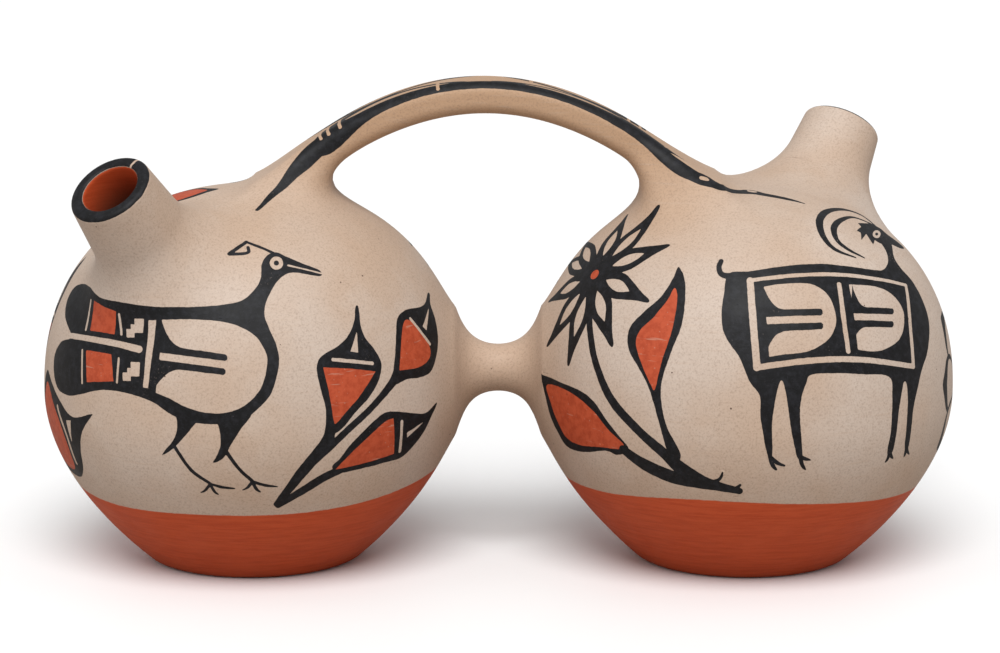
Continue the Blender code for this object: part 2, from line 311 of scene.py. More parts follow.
def round_intersection(first, second, radius):
    """Intersection of two distances with its edge rounded to the given radius."""
    return -round_union(-first, -second, radius)


def smooth_step(value):
    """Eased 0 to 1."""
    value = np.clip(value, 0.0, 1.0)
    return value * value * (3.0 - 2.0 * value)


class CanteenForm:
    """The whole pot as signed distances in metres, negative in the clay."""

    PROFILE_POINTS = 160
    CORNER_POINTS = 12
    TUBE_FLARE_SHARE = 0.9
    STRAP_ROUNDS = 6
    STRAP_STEP_SHARE = 0.8
    COMMON_CREST = 1.7

    def __init__(self, sizes):
        """Take the sizes and work out what several pieces share."""
        self.sizes = sizes
        self.half_spacing = sizes.jar_radius + sizes.jar_gap / 2
        self.top = sizes.equator_height + sizes.shoulder_rise
        self.jar_outline = Outline(self.jar_points())
        self.spouts = [self.spout_axis(-1), self.spout_axis(1)]

    def jar_points(self):
        """The jar's outline from the middle of its foot to the top of its dome."""
        sizes = self.sizes
        swell = sizes.jar_radius - sizes.foot_radius
        steepness = math.atan2(sizes.equator_height, swell * sizes.belly_curve)
        flat_end = sizes.foot_radius - sizes.foot_corner * math.tan(steepness / 2)
        turn = np.linspace(-math.pi / 2, steepness - math.pi / 2, self.CORNER_POINTS)
        corner = np.stack([flat_end + sizes.foot_corner * np.cos(turn),
                           sizes.foot_corner * (1.0 + np.sin(turn))], 1)
        height = np.linspace(corner[-1, 1], sizes.equator_height, self.PROFILE_POINTS)[1:]
        drop = 1.0 - height / sizes.equator_height
        belly = np.stack([sizes.foot_radius + swell * (1.0 - drop ** sizes.belly_curve), height], 1)
        turn = np.linspace(0.0, math.pi / 2, self.PROFILE_POINTS)[1:]
        power = 2.0 / sizes.shoulder_fullness
        across = sizes.jar_radius * np.cos(turn).clip(0.0) ** power
        dome = np.stack([across, sizes.equator_height + sizes.shoulder_rise * np.sin(turn) ** power], 1)
        return np.concatenate([[[0.0, 0.0]], corner, belly, dome])

    def spout_axis(self, side):
        """Crossing point, direction and rim distance of a spout."""
        sizes = self.sizes
        rise = sizes.left_centre_rise if side < 0 else sizes.right_centre_rise
        reach = sizes.left_reach if side < 0 else sizes.right_reach
        swing = sizes.left_swing if side < 0 else sizes.right_swing
        out = side * math.sin(sizes.spout_lean)
        direction = np.array([out * math.cos(swing), out * math.sin(swing), math.cos(sizes.spout_lean)])
        return np.array([side * self.half_spacing, 0.0, sizes.equator_height + rise]), direction, reach

    def jar(self, points, side):
        """One solid jar."""
        across = np.hypot(points[:, 0] - side * self.half_spacing, points[:, 1])
        return self.jar_outline.distance(across, points[:, 2])

    def spout_place(self, points, spout):
        """Distance from a spout's axis and distance along it."""
        centre, direction, _ = spout
        offset = points - centre
        along = offset @ direction
        return np.linalg.norm(offset - along[:, None] * direction, axis=1), along

    def spout(self, points, spout):
        """One solid spout, from half way down its axis to its lip."""
        sizes = self.sizes
        across, along = self.spout_place(points, spout)
        rim = spout[2]
        girth = sizes.rim_radius + sizes.spout_taper * (rim - along)
        body = round_intersection(across - girth, along - rim, sizes.lip_round)
        return np.maximum(body, rim / 2 - along)

    def tube(self, points):
        """The solid waisted tube between the jars."""
        sizes = self.sizes
        across = np.hypot(points[:, 1], points[:, 2] - sizes.equator_height - sizes.tube_rise)
        along = np.minimum(np.abs(points[:, 0]), self.TUBE_FLARE_SHARE * sizes.tube_flare)
        throat = np.sqrt(sizes.tube_flare ** 2 - along ** 2)
        outline = (across - sizes.tube_waist - sizes.tube_flare + throat) * throat / sizes.tube_flare
        return np.maximum(outline, np.abs(points[:, 0]) - self.half_spacing)

    def handle_curve(self, along):
        """Height and slope of the strap's middle line at a distance from the crown, and half its span."""
        sizes = self.sizes
        half_span = self.half_spacing - sizes.handle_inset
        crown = self.top + sizes.handle_rise - sizes.handle_thickness / 2
        sag = (crown - self.top + sizes.handle_sink) / half_span ** 2
        return crown - sag * along ** 2, -2.0 * sag * along, half_span

    def handle_place(self, points):
        """Place along the strap, height above its middle line and swelling there."""
        sizes = self.sizes
        along = points[:, 0] - sizes.handle_shift
        nearest = along.copy()
        for _ in range(self.STRAP_ROUNDS):
            height, slope, half_span = self.handle_curve(nearest)
            miss = (along - nearest) + (points[:, 2] - height) * slope
            step = miss / (1.0 + slope ** 2) * self.STRAP_STEP_SHARE
            nearest = np.clip(nearest + step, -half_span, half_span)
        height, slope, half_span = self.handle_curve(nearest)
        above = ((points[:, 2] - height) - (along - nearest) * slope) / np.sqrt(1.0 + slope ** 2)
        swell = smooth_step(1.0 - (half_span - np.abs(nearest)) / sizes.handle_swell)
        foot = np.where(nearest < 0.0, sizes.handle_left_foot, sizes.handle_right_foot)
        return nearest, above, 1.0 + (foot - 1.0) * swell

    def handle(self, points):
        """The strap with its swelling feet."""
        sizes = self.sizes
        _, above, scale = self.handle_place(points)
        half_height = sizes.handle_thickness / 2
        above = above + (scale - 1.0) * half_height
        out_y = np.abs(points[:, 1]) - (sizes.handle_width / 2) * scale + sizes.handle_edge
        out_z = np.abs(above) - half_height * scale + sizes.handle_edge
        corner = np.hypot(np.maximum(out_y, 0.0), np.maximum(out_z, 0.0))
        strap = corner + np.minimum(np.maximum(out_y, out_z), 0.0) - sizes.handle_edge
        half_span = self.half_spacing - sizes.handle_inset
        return np.maximum(strap, np.abs(points[:, 0] - sizes.handle_shift) - half_span)

    def wander(self, points):
        """Slow waves that a hand-smoothed wall keeps, some 30 to 60 mm for each radian."""
        x, y, z = (points * MILLIMETRES).T
        waves = np.sin(x / 31 + z / 47 + 1.0)
        waves = waves + np.sin(y / 37 - x / 53 + 2.2)
        waves = waves + np.sin(z / 29 + y / 61 + 0.4)
        return self.sizes.waviness * waves / self.COMMON_CREST

    def outside(self, points):
        """The outer skin, with the smeared joints."""
        sizes = self.sizes
        skin = np.minimum(self.jar(points, -1), self.jar(points, 1))
        skin = smooth_union(skin, self.tube(points), sizes.tube_blend)
        inward = smooth_step((points[:, 0] + self.half_spacing) / sizes.handle_swell)
        reach = sizes.handle_left_blend + (sizes.handle_blend - sizes.handle_left_blend) * inward
        skin = smooth_union(skin, self.handle(points), reach)
        for spout, flare in zip(self.spouts, (sizes.left_flare, sizes.right_flare)):
            skin = round_union(skin, self.spout(points, spout), flare)
        level = smooth_step(points[:, 2] / (2 * sizes.foot_corner))
        return skin + self.wander(points) * level

    def hollow(self, points):
        """The chambers and bores."""
        sizes = self.sizes
        space = np.minimum(self.jar(points, -1), self.jar(points, 1)) + sizes.wall
        across = np.hypot(points[:, 1], points[:, 2] - sizes.equator_height - sizes.tube_rise)
        tube = np.maximum(across - sizes.tube_bore, np.abs(points[:, 0]) - self.half_spacing)
        space = np.minimum(space, tube)
        for spout in self.spouts:
            across, along = self.spout_place(points, spout)
            bore = np.maximum(across - sizes.rim_radius + sizes.spout_wall, spout[2] / 2 - along)
            space = np.minimum(space, bore)
        return space

    def clay(self, points):
        """The clay itself: outer skin less the hollow."""
        return round_intersection(self.outside(points), -self.hollow(points), self.sizes.lip_round)


def surface_net(distance, low, high, step):
    """Vertices and quads of the zero surface of a distance, on a regular grid."""
    low, high = np.array(low), np.array(high)
    count = np.ceil((high - low) / step).astype(int) + 1
    axes = [low[i] + step * np.arange(count[i]) for i in range(3)]
    values = np.empty(count)
    for index, x in enumerate(axes[0]):
        y, z = np.meshgrid(axes[1], axes[2], indexing="ij")
        slab = np.stack([np.full(y.size, x), y.ravel(), z.ravel()], 1)
        values[index] = distance(slab).reshape(y.shape)
    inside = values < 0.0
    strides = np.array([count[1] * count[2], count[2], 1])
    cells, places, quads = [], [], []
    for axis in range(3):
        near = [slice(None)] * 3
        far = [slice(None)] * 3
        near[axis], far[axis] = slice(None, -1), slice(1, None)
        edges = np.argwhere(inside[tuple(near)] != inside[tuple(far)])
        first, second = (axis + 1) % 3, (axis + 2) % 3
        keep = (edges[:, first] > 0) & (edges[:, second] > 0)
        keep &= (edges[:, first] < count[first] - 1) & (edges[:, second] < count[second] - 1)
        edges = edges[keep]
        ahead = edges.copy()
        ahead[:, axis] += 1
        here, there = values[tuple(edges.T)], values[tuple(ahead.T)]
        crossing = edges.astype(float)
        crossing[:, axis] += here / (here - there)
        around = []
        for back_first, back_second in ((0, 0), (1, 0), (1, 1), (0, 1)):
            cell = edges.copy()
            cell[:, first] -= back_first
            cell[:, second] -= back_second
            around.append(cell @ strides)
            places.append(crossing)
        cells.extend(around)
        quad = np.stack(around, 1)
        quads.append(np.where((here < 0.0)[:, None], quad, quad[:, ::-1]))
    ids, index = np.unique(np.concatenate(cells), return_inverse=True)
    places = np.concatenate(places)
    share = np.bincount(index)
    points = np.stack([np.bincount(index, places[:, i]) / share for i in range(3)], 1)
    return low + step * points, np.searchsorted(ids, np.concatenate(quads))


def subdivide(points, quads, chosen):
    """Split the chosen quads in four; the others keep their shape."""
    kept, split = quads[~chosen], quads[chosen]
    sides = np.sort(np.stack([split, np.roll(split, -1, axis=1)], -1).reshape(-1, 2), axis=1)
    edges, index = np.unique(sides, axis=0, return_inverse=True)
    index = index.reshape(-1, 4) + len(points)
    middles = np.arange(len(split)) + len(points) + len(edges)
    points = np.concatenate([points, points[edges].mean(axis=1), points[split].mean(axis=1)])
    parts = [np.stack([split[:, i], index[:, i], middles, index[:, i - 1]], 1) for i in range(4)]
    return points, np.concatenate([kept] + parts)


def settle(distance, points, rounds=3):
    """Move points onto the zero surface of a distance."""
    for _ in range(rounds):
        slopes = []
        for axis in np.eye(3) * SLOPE_PROBE:
            slopes.append((distance(points + axis) - distance(points - axis)) / (2 * SLOPE_PROBE))
        slope = np.stack(slopes, 1)
        step = distance(points) / np.maximum((slope ** 2).sum(1), LEAST_SLOPE)
        points = points - step[:, None] * slope
    return points


def trim(work, place, keep_side):
    """Cut an open mesh by a plane, drop what lies behind it and close the cut."""
    place, keep_side = Vector(place), Vector(keep_side)
    geometry = work.verts[:] + work.edges[:] + work.faces[:]
    cut = bmesh.ops.bisect_plane(work, geom=geometry, dist=CUT_SLACK, plane_co=place, plane_no=keep_side,
                                 clear_inner=True)["geom_cut"]
    rims = [item for item in cut if isinstance(item, bmesh.types.BMEdge) and item.is_boundary]
    for edge in rims:
        edge.smooth = False
    bmesh.ops.triangle_fill(work, use_beauty=True, edges=rims, normal=-keep_side)


def carve(name, form, low, high, step, cuts, finer="outer"):
    """One piece of the form: its surface inside a box, trimmed by planes and closed where they cut.

    Faces of the outer skin, of both skins or of none are divided once more.
    """
    points, quads = surface_net(form.clay, low, high, step)
    points = settle(form.clay, points, rounds=1)
    if finer != "none":
        middles = points[quads].mean(axis=1)
        outer = np.abs(form.outside(middles)) < np.abs(form.hollow(middles))
        points, quads = subdivide(points, quads, outer | (finer == "both"))
    points = settle(form.clay, points)
    mesh = bpy.data.meshes.new(name)
    mesh.from_pydata(points.tolist(), [], quads.tolist())
    work = bmesh.new()
    work.from_mesh(mesh)
    for face in work.faces:
        face.smooth = True
    for place, keep_side in cuts:
        trim(work, place, keep_side)
    bmesh.ops.recalc_face_normals(work, faces=work.faces)
    work.to_mesh(mesh)
    work.free()
    piece = bpy.data.objects.new(name, mesh)
    bpy.context.scene.collection.objects.link(piece)
    return piece


# Painting. Designs are given in millimetres right of and above the middle of a jar, as the camera sees it.


def curve_through(points, closed=False):
    """A smooth line through a few points, with a corner at a point given twice.

    Every column of the points is carried along, so a half width changes as smoothly as a place.
    """
    points = np.array(points, float)
    if closed:
        guide = np.concatenate([points[-1:], points, points[:2]])
    else:
        guide = np.concatenate([2 * points[:1] - points[1:2], points, 2 * points[-1:] - points[-2:-1]])
    before, start, end, after = guide[:-3], guide[1:-2], guide[2:-1], guide[3:]
    line = []
    for share in np.arange(CURVE_STEPS) / CURVE_STEPS:
        line.append(0.5 * (2 * start + (end - before) * share
                           + (2 * before - 5 * start + 4 * end - after) * share ** 2
                           + (3 * start - before - 3 * end + after) * share ** 3))
    line = np.stack(line, 1)
    doubled = (start == end).all(axis=1)
    line[doubled] = start[doubled][:, None]
    line = line.reshape(-1, points.shape[1])
    return line if closed else np.concatenate([line, points[-1:]])


def segment_gaps(places, starts, ends):
    """Distances of places from segments, with the shares along them."""
    along = ends - starts
    offset = places[:, None] - starts[None]
    square = np.maximum(np.einsum("jk,jk->j", along, along), TINY)
    share = np.clip(np.einsum("ijk,jk->ij", offset, along) / square, 0.0, 1.0)
    return np.linalg.norm(offset - share[..., None] * along, axis=2), share


def stroke_distance(places, line):
    """Distance from a brush stroke whose last column is its half width."""
    centres, widths = line[:, :-1], line[:, -1]
    gaps, share = segment_gaps(places, centres[:-1], centres[1:])
    return (gaps - widths[:-1] - share * np.diff(widths)).min(axis=1)


def fill_distance(places, outline):
    """Distance from a filled outline, negative inside."""
    ends = np.roll(outline, -1, axis=0)
    gaps, _ = segment_gaps(places, outline, ends)
    x, y = places[:, :1], places[:, 1:]
    spans = (outline[:, 1] <= y) != (ends[:, 1] <= y)
    rise = np.where(ends[:, 1] == outline[:, 1], 1.0, ends[:, 1] - outline[:, 1])
    reach = outline[:, 0] + (y - outline[:, 1]) * (ends[:, 0] - outline[:, 0]) / rise
    inside = (spans & (reach > x)).sum(axis=1) % 2 == 1
    return np.where(inside, -1.0, 1.0) * gaps.min(axis=1)


class Painting:
    """Shapes laid one over the other on a flat chart: black and red add, cream clears."""

    def __init__(self, face=None, as_seen=True):
        """An empty painting; on a face its points are taken as the camera sees them or as they lie."""
        self.face = face
        self.as_seen = as_seen
        self.shapes = []

    def stroke(self, colour, *points):
        """A brush line through points of (right, up, half width)."""
        points = np.array(points, float)
        line = curve_through(np.column_stack([self.placed(points[:, :2]), points[:, 2]]))
        self.shapes.append((colour, stroke_distance, line, line[:, :-1], line[:, -1].max()))

    def fill(self, colour, *points, sharp=False):
        """A filled outline through points of (right, up); a point given twice is a corner."""
        outline = self.placed(np.array(points, float))
        outline = outline if sharp else curve_through(outline, closed=True)
        self.shapes.append((colour, fill_distance, outline, outline, 0.0))

    def placed(self, points):
        """Points of a design on the flat chart."""
        return self.face.laid(points) if self.face and self.as_seen else points

    def distances(self, places):
        """Distances to the edge of the black and of the red, in millimetres."""
        black = np.full(len(places), PAINT_REACH)
        red = np.full(len(places), PAINT_REACH)
        for colour, measure, line, extent, width in self.shapes:
            low = extent.min(axis=0) - width - PAINT_REACH
            high = extent.max(axis=0) + width + PAINT_REACH
            near = np.flatnonzero(((places > low) & (places < high)).all(axis=1))
            if not len(near):
                continue
            gap = measure(places[near], line)
            if colour == BLACK:
                black[near] = np.minimum(black[near], gap)
            else:
                black[near] = np.maximum(black[near], -gap)
            if colour == RED:
                red[near] = np.minimum(red[near], gap - RED_UNDERLAP)
            elif colour == CREAM:
                red[near] = np.maximum(red[near], -gap)
        return black, red


def meet_skin(form, eye, through, start, stop=np.inf):
    """Where lines of sight from an eye through some points meet the pot's skin, between two distances."""
    sight = through - eye
    sight /= np.linalg.norm(sight, axis=1)[:, None]
    travel = np.full(len(sight), start)
    for _ in range(SIGHT_STEPS):
        travel = travel + SIGHT_SHARE * form.outside(eye + travel[:, None] * sight)
    return eye + np.minimum(travel, stop)[:, None] * sight


class Face:
    """One face of a jar rolled out flat around a line of sight, in millimetres."""

    def __init__(self, form, side, eye):
        """The face that an eye sees of the jar on one side."""
        self.form, self.side = form, side
        self.radius = form.sizes.jar_radius * MILLIMETRES
        self.middle = np.array([side * form.half_spacing, 0.0, FACE_HEIGHT])
        self.eye = np.array(eye)
        self.toward = self.eye - self.middle
        self.toward /= np.linalg.norm(self.toward)
        self.right = np.cross(UP, self.toward)
        self.right /= np.linalg.norm(self.right)
        self.up = np.cross(self.toward, self.right)

    def chart(self, points):
        """Where points of the pot lie on the flat face."""
        offset = points - self.middle
        across, along = offset @ self.right, offset @ self.up
        from_middle = np.hypot(across, along)
        turn = np.arctan2(from_middle, offset @ self.toward)
        scale = self.radius * turn / np.maximum(from_middle, TINY)
        return np.stack([across * scale, along * scale], 1)

    def laid(self, points):
        """Where points seen on a plane through the jar's middle lie on the flat face."""
        right, up = points[:, :1] / MILLIMETRES, points[:, 1:2] / MILLIMETRES
        seen = self.middle + right * self.right + up * self.up
        far = np.linalg.norm(self.eye - self.middle)
        return self.chart(meet_skin(self.form, self.eye, seen, far - FACE_START, far))


def along_axis(base, tip, shape, half_width):
    """Points given as (share of the way from base to tip, share of the half width) put in place."""
    base, tip = np.array(base, float), np.array(tip, float)
    axis = tip - base
    normal = np.array([-axis[1], axis[0]]) / np.hypot(*axis)
    return [tuple(base + along * axis + across * half_width * normal) for along, across in shape]


def mirrored(half):
    """A symmetrical outline from its one half."""
    return half + [(along, -across) for along, across in reversed(half) if across]


def ring(centre, radius, count=10):
    """Points around a circle."""
    turns = 2 * math.pi * np.arange(count) / count
    return [(centre[0] + radius * math.cos(turn), centre[1] + radius * math.sin(turn)) for turn in turns]


def paint_eye(painting, centre, radius):
    """A cream ring with a black pupil."""
    painting.fill(CREAM, *ring(centre, radius))
    painting.fill(BLACK, *ring(centre, radius * PUPIL_SHARE))


def paint_bud(painting, outline, heart, bar, glint):
    """A pointed bud: black calyx and tip, red heart, one cream bar and one cream glint."""
    painting.fill(BLACK, *outline)
    painting.fill(RED, *heart)
    painting.stroke(CREAM, *[(*point, BUD_BAR_HALF_WIDTH) for point in bar])
    painting.fill(CREAM, *glint, sharp=True)


def paint_spray(painting):
    """Three buds on stems that spring from one root."""
    painting.stroke(BLACK, (9.4, -56.5, 1.5), (20.5, -43, 2.6), (31.5, -29.5, 2.6), (34, -22, 2.6))
    painting.stroke(BLACK, (20.5, -42.5, 2.0), (40, -25.4, 1.6), (50, -16.4, 1.6), (57, -8.9, 1.7),
                    (62, -2.6, 2.3))
    painting.stroke(BLACK, (10, -57.2, 1.5), (20.5, -51, 2.1), (30, -45.4, 2.2), (38, -41.6, 2.0))
    outline = [(45.2, 30), (46.6, 30), (47.5, 22), (49.3, 16.5), (53.5, 11), (56.3, 5), (55.2, -2.2),
               (51.3, -9.4), (44.7, -16.5), (38, -24.2), (32, -26), (31.5, -15.4), (29.8, -7.7), (28, 0),
               (28, 5), (30.4, 8.8), (37, 12.7), (42, 17.6), (44.6, 24.2)]
    heart = [(30.6, 3.5), (30.6, 3.5), (42, 2.8), (53.8, 1.4), (53.8, 1.4), (47.2, -8.6), (41.2, -15.6),
             (36.2, -21.2), (35, -20.4), (33.4, -9.5)]
    bar = [(35, 6.9), (52.4, 5)]
    glint = [(45.7, 19.5), (46.2, 9.8), (42.8, 10.4)]
    paint_bud(painting, outline, heart, bar, glint)
    outline = [(77.3, 35.6), (78.2, 35.4), (78.5, 30.8), (80.5, 24.2), (81.6, 16.5), (81, 8.8), (78.3, 1.1),
               (73.3, -1.6), (67.8, -2.2), (62.9, -4.4), (60, -3), (61.4, 1.1), (62.5, 8.8), (63.2, 19.8),
               (64, 25.3), (67.8, 28.6), (73.3, 29.5), (76.1, 31.4)]
    heart = [(68.4, 24.2), (73.3, 19.8), (78, 11.6), (77.5, 6.6), (73.3, 3.1), (64.3, 1.6), (64.3, 1.6),
             (65.3, 14), (66.3, 22)]
    bar = [(69.5, 24.5), (78, 13.2)]
    glint = [(77.7, 29.2), (74.8, 21), (76.6, 19.2)]
    paint_bud(painting, outline, heart, bar, glint)
    outline = [(80.3, -13), (80.6, -13.8), (78.3, -18.7), (75, -25.3), (70, -31.9), (64.5, -36.9),
               (56.8, -39.1), (48, -41.3), (37, -43.2), (34, -40.5), (37.5, -36.9), (42, -31.2),
               (48.3, -24.8), (55, -18.7), (60, -16.4), (68.9, -17.1), (75.5, -17.4)]
    heart = [(61.4, -19.4), (61.4, -19.4), (61.4, -35.2), (61.4, -35.2), (48.5, -39), (36.2, -41.6),
             (36.2, -40.9), (43.9, -33.2), (51.1, -26.7), (57.5, -21)]
    bar = [(65.1, -20.9), (64, -34.1)]
    glint = [(75.2, -20.8), (67.3, -25.9), (67.3, -28.2)]
    paint_bud(painting, outline, heart, bar, glint)


def paint_side_spray(painting):
    """Buds on the end of the left jar: one that leans to the front and one upright."""
    painting.stroke(BLACK, (0, -46, 2.2), (1, -20, 2.4), (2, 4, 2.4))
    painting.stroke(BLACK, (0, -44, 2.0), (2, -36, 2.2), (6, -29, 2.4))
    outline = [(4, -31), (4, -24), (11, -12), (18, 0), (26.5, 8.5), (36, 4.5), (46.3, -1.2), (54.5, -5.7),
               (61.2, -6.6), (72.4, -3.2), (72.7, -4.2), (67.4, -9.9), (63.7, -14.5), (60, -22), (55, -32),
               (46, -38.5), (34, -39), (18, -36)]
    heart = [(8, -27), (14, -14), (24, 1), (30, 3), (37.6, -3.7), (44.4, -11.5), (47.3, -21), (46, -31),
             (41, -35.6), (30, -35), (14, -31)]
    bar = [(43.5, -4.5), (49.7, -17), (49.3, -31)]
    glint = [(52, -9.4), (56.5, -8.7), (53.5, -20)]
    paint_bud(painting, outline, heart, bar, glint)
    outline = [(0, 0), (-9, 10), (-15, 22), (-14, 31), (-6, 38), (2, 45), (8, 54), (13, 60), (14, 60),
               (15, 52), (17, 42), (17, 31), (14, 18), (6, 6)]
    heart = [(1, 6), (-6, 12), (-12, 24), (-12, 24), (0, 25.5), (14, 27), (14, 27), (10, 17)]
    bar = [(-9, 29), (14, 31)]
    glint = [(10, 48), (11, 36), (7, 35)]
    paint_bud(painting, outline, heart, bar, glint)


def paint_side_flower(painting):
    """A broad open flower on the end of the right jar."""
    centre = np.array([2.0, -2.0])
    rim = [(0.0, 0.1), (0.35, 0.62), (0.62, 1.0), (0.82, 0.86), (0.96, 0.3), (1.0, 0.05)]
    hollow = [(0.24, 0.1), (0.40, 0.52), (0.62, 0.82), (0.76, 0.70), (0.83, 0.1)]
    for petal in range(END_PETALS):
        turn = math.radians(END_PETAL_TURN + 360.0 / END_PETALS * petal)
        tip = centre + END_PETAL_LENGTH * np.array([math.cos(turn), math.sin(turn)])
        painting.fill(BLACK, *along_axis(centre, tip, mirrored(rim), END_PETAL_HALF_WIDTH))
        painting.fill(CREAM, *along_axis(centre, tip, mirrored(hollow), END_PETAL_HALF_WIDTH))
    painting.fill(BLACK, *ring(centre, 8.0))
    painting.fill(RED, *ring(centre, 5.0))


def paint_feathers(painting, root, tip, half_width):
    """A pair of feathers that flare at the root, with a cream quill between them."""
    shares = np.linspace(0.0, 1.0, 9)
    flare = [(0.4 * share, 0.30 + 0.70 * (1.0 - share) ** 2.6) for share in shares]
    end = [(0.97, 0.29), (1.0, 0.24), (1.0, 0.15), (0.97, 0.10), (0.0, 0.10)]
    for side in (1.0, -1.0):
        outline = [(along, side * across) for along, across in flare + end]
        painting.fill(BLACK, *along_axis(root, tip, outline, half_width), sharp=True)


def paint_toes(painting, ankle, toes, half_width=TOE_HALF_WIDTH):
    """Toes or hooves that spread from an ankle."""
    for right, up in toes:
        painting.stroke(BLACK, (*ankle, half_width),
                        (ankle[0] + right * 0.5, ankle[1] + up * 0.7, half_width),
                        (ankle[0] + right, ankle[1] + up, half_width * 0.5))


def paint_bird_body(painting):
    """Body, neck and tail in one black outline, with a cream breast and a pair of feathers."""
    painting.fill(BLACK, (-75, 41.8), (-71.7, 40.5), (-69.1, 37.4), (-64.7, 34.8), (-50, 32),
                  (-35.3, 31), (-20.6, 31.2), (-11.8, 32), (-4.5, 33.8), (0.7, 38.2), (3.6, 43.3),
                  (4, 49.2), (6.5, 53.3), (10.5, 54.6), (14.6, 52.9), (22, 49.6), (29.6, 46.5),
                  (29.6, 43.9), (19.7, 45.5), (15.3, 45.1), (10.9, 41.8), (7.3, 36), (5.1, 30.1),
                  (5.5, 25), (10.2, 13.2), (11.2, 6.6), (9.9, -0.7), (7.3, -8.1), (2.1, -14),
                  (-3.7, -18.4), (-11.8, -20.6), (-19.2, -20.9), (-28, -19.8), (-36.8, -16.2),
                  (-45.6, -10.3), (-57.3, -6.3), (-67.6, -5.1), (-76.4, -6.9), (-81.6, -7.3),
                  (-86, -4.4), (-87.7, 2.2), (-87.4, 10.3), (-84.5, 16.3), (-80, 18.6), (-82.5, 27.2),
                  (-81.6, 34.5), (-78.6, 40))
    painting.fill(CREAM, (-40.5, 25.4), (-40.5, 25.4), (-28, 25.5), (-14.8, 24.5), (-6, 22),
                  (1.4, 17.2), (5.4, 10.3), (5.8, 4.4), (4, -2.9), (0.7, -8.5), (-5.2, -13.5),
                  (-12.6, -15.9), (-20.6, -15.9), (-29.4, -13.4), (-36.8, -9.5), (-43.7, -6.3),
                  (-43.7, -6.3))
    painting.stroke(BLACK, (-40.9, 25.6, 0.9), (-44, -6.3, 0.9))
    paint_feathers(painting, (-42.5, 9.6), (-12, 5.2), 16.0)


def paint_bird_head(painting):
    """The line of the beak, the eye and a crest with a looped tip."""
    painting.stroke(CREAM, (15.8, 48.8, 0.45), (31, 44.9, 0.4))
    paint_eye(painting, (10.6, 49.9), 2.9)
    painting.stroke(BLACK, (10, 54, 0.7), (4, 56.8, 0.7), (-2.5, 59.4, 0.7))
    painting.stroke(BLACK, (-2.5, 59.4, 0.8), (-2.5, 59.4, 0.8), (-10.2, 54.2, 0.9), (-10.2, 54.2, 0.9),
                    (-2.2, 54.6, 0.8), (-1.8, 57, 0.8))


def paint_bird_tail(painting):
    """Two tail feathers: red patches between cream lines, stepped blocks, and cream lines that part them."""
    painting.fill(RED, (-69.8, 34.3), (-66, 31.8), (-60.3, 29.4), (-61, 19.3), (-71.7, 21.2), sharp=True)
    painting.fill(RED, (-73.6, 12.6), (-62.5, 10.6), (-61.7, -1.4), (-73.4, -1.5), sharp=True)
    tail_lines = [((-71.2, 34.5), (-73.6, 21.5)), ((-58.9, 28), (-58, 19.4)),
                  ((-75.2, 12.6), (-75.5, -1.9)), ((-59.3, 8.8), (-60.2, -1.8))]
    for start, end in tail_lines:
        painting.stroke(CREAM, (*start, TAIL_LINE_HALF_WIDTH), (*end, TAIL_LINE_HALF_WIDTH))
    steps = [(-52.2, 26.2), (-48, 26), (-48.5, 19.8), (-52.2, 19.8), (-52.2, 17.8), (-55.8, 17.8),
             (-55.8, 21.6), (-53.8, 21.6), (-53.8, 23.6), (-52.2, 23.6)]
    for right, up in ((0.0, 0.0), (-1.9, -19.1)):
        painting.fill(CREAM, *[(along + right, above + up) for along, above in steps], sharp=True)
    painting.stroke(CREAM, (-88, 20.2, 1.5), (-70, 17.2, 1.4), (-58, 14.7, 1.5), (-50.3, 12.6, 1.6))
    painting.fill(CREAM, (-46, 25.3), (-42.8, 25.3), (-44.6, 10.3), (-46.6, -4.6), (-48.8, -4.2),
                  (-47.4, 10.3), sharp=True)


def paint_bird_legs(painting):
    """Two feathered thighs, each with a thin shank and three toes."""
    painting.fill(BLACK, (-33.6, -14), (-24.4, -17), (-28, -22.8), (-32.4, -27.9), (-36.1, -31.6),
                  (-40.9, -34.4), (-39.7, -32.3), (-36.1, -27.9), (-34.1, -22.8))
    painting.stroke(BLACK, (-35, -31, 0.9), (-28, -41.1, 0.8), (-19.9, -47, 0.8))
    paint_toes(painting, (-19.9, -47.2), ((-4.1, -3.8), (3.7, -4.8), (10.7, -2.2)))
    painting.fill(BLACK, (-15.8, -17), (-1.5, -16), (-6.7, -24.2), (-10.4, -30.1), (-14, -36),
                  (-18.6, -38), (-17, -35.2), (-15.1, -30.1), (-15.4, -24.2))
    painting.stroke(BLACK, (-13.3, -32, 0.9), (-7.4, -40.4, 0.8), (-1.3, -46.3, 0.8))
    paint_toes(painting, (-1.3, -46.5), ((-4.2, -3.6), (3.4, -4.6), (11, -2.4)))


def paint_bird(painting):
    """A crested bird with a barred tail, turned to the right."""
    paint_bird_body(painting)
    paint_bird_head(painting)
    paint_bird_tail(painting)
    paint_bird_legs(painting)


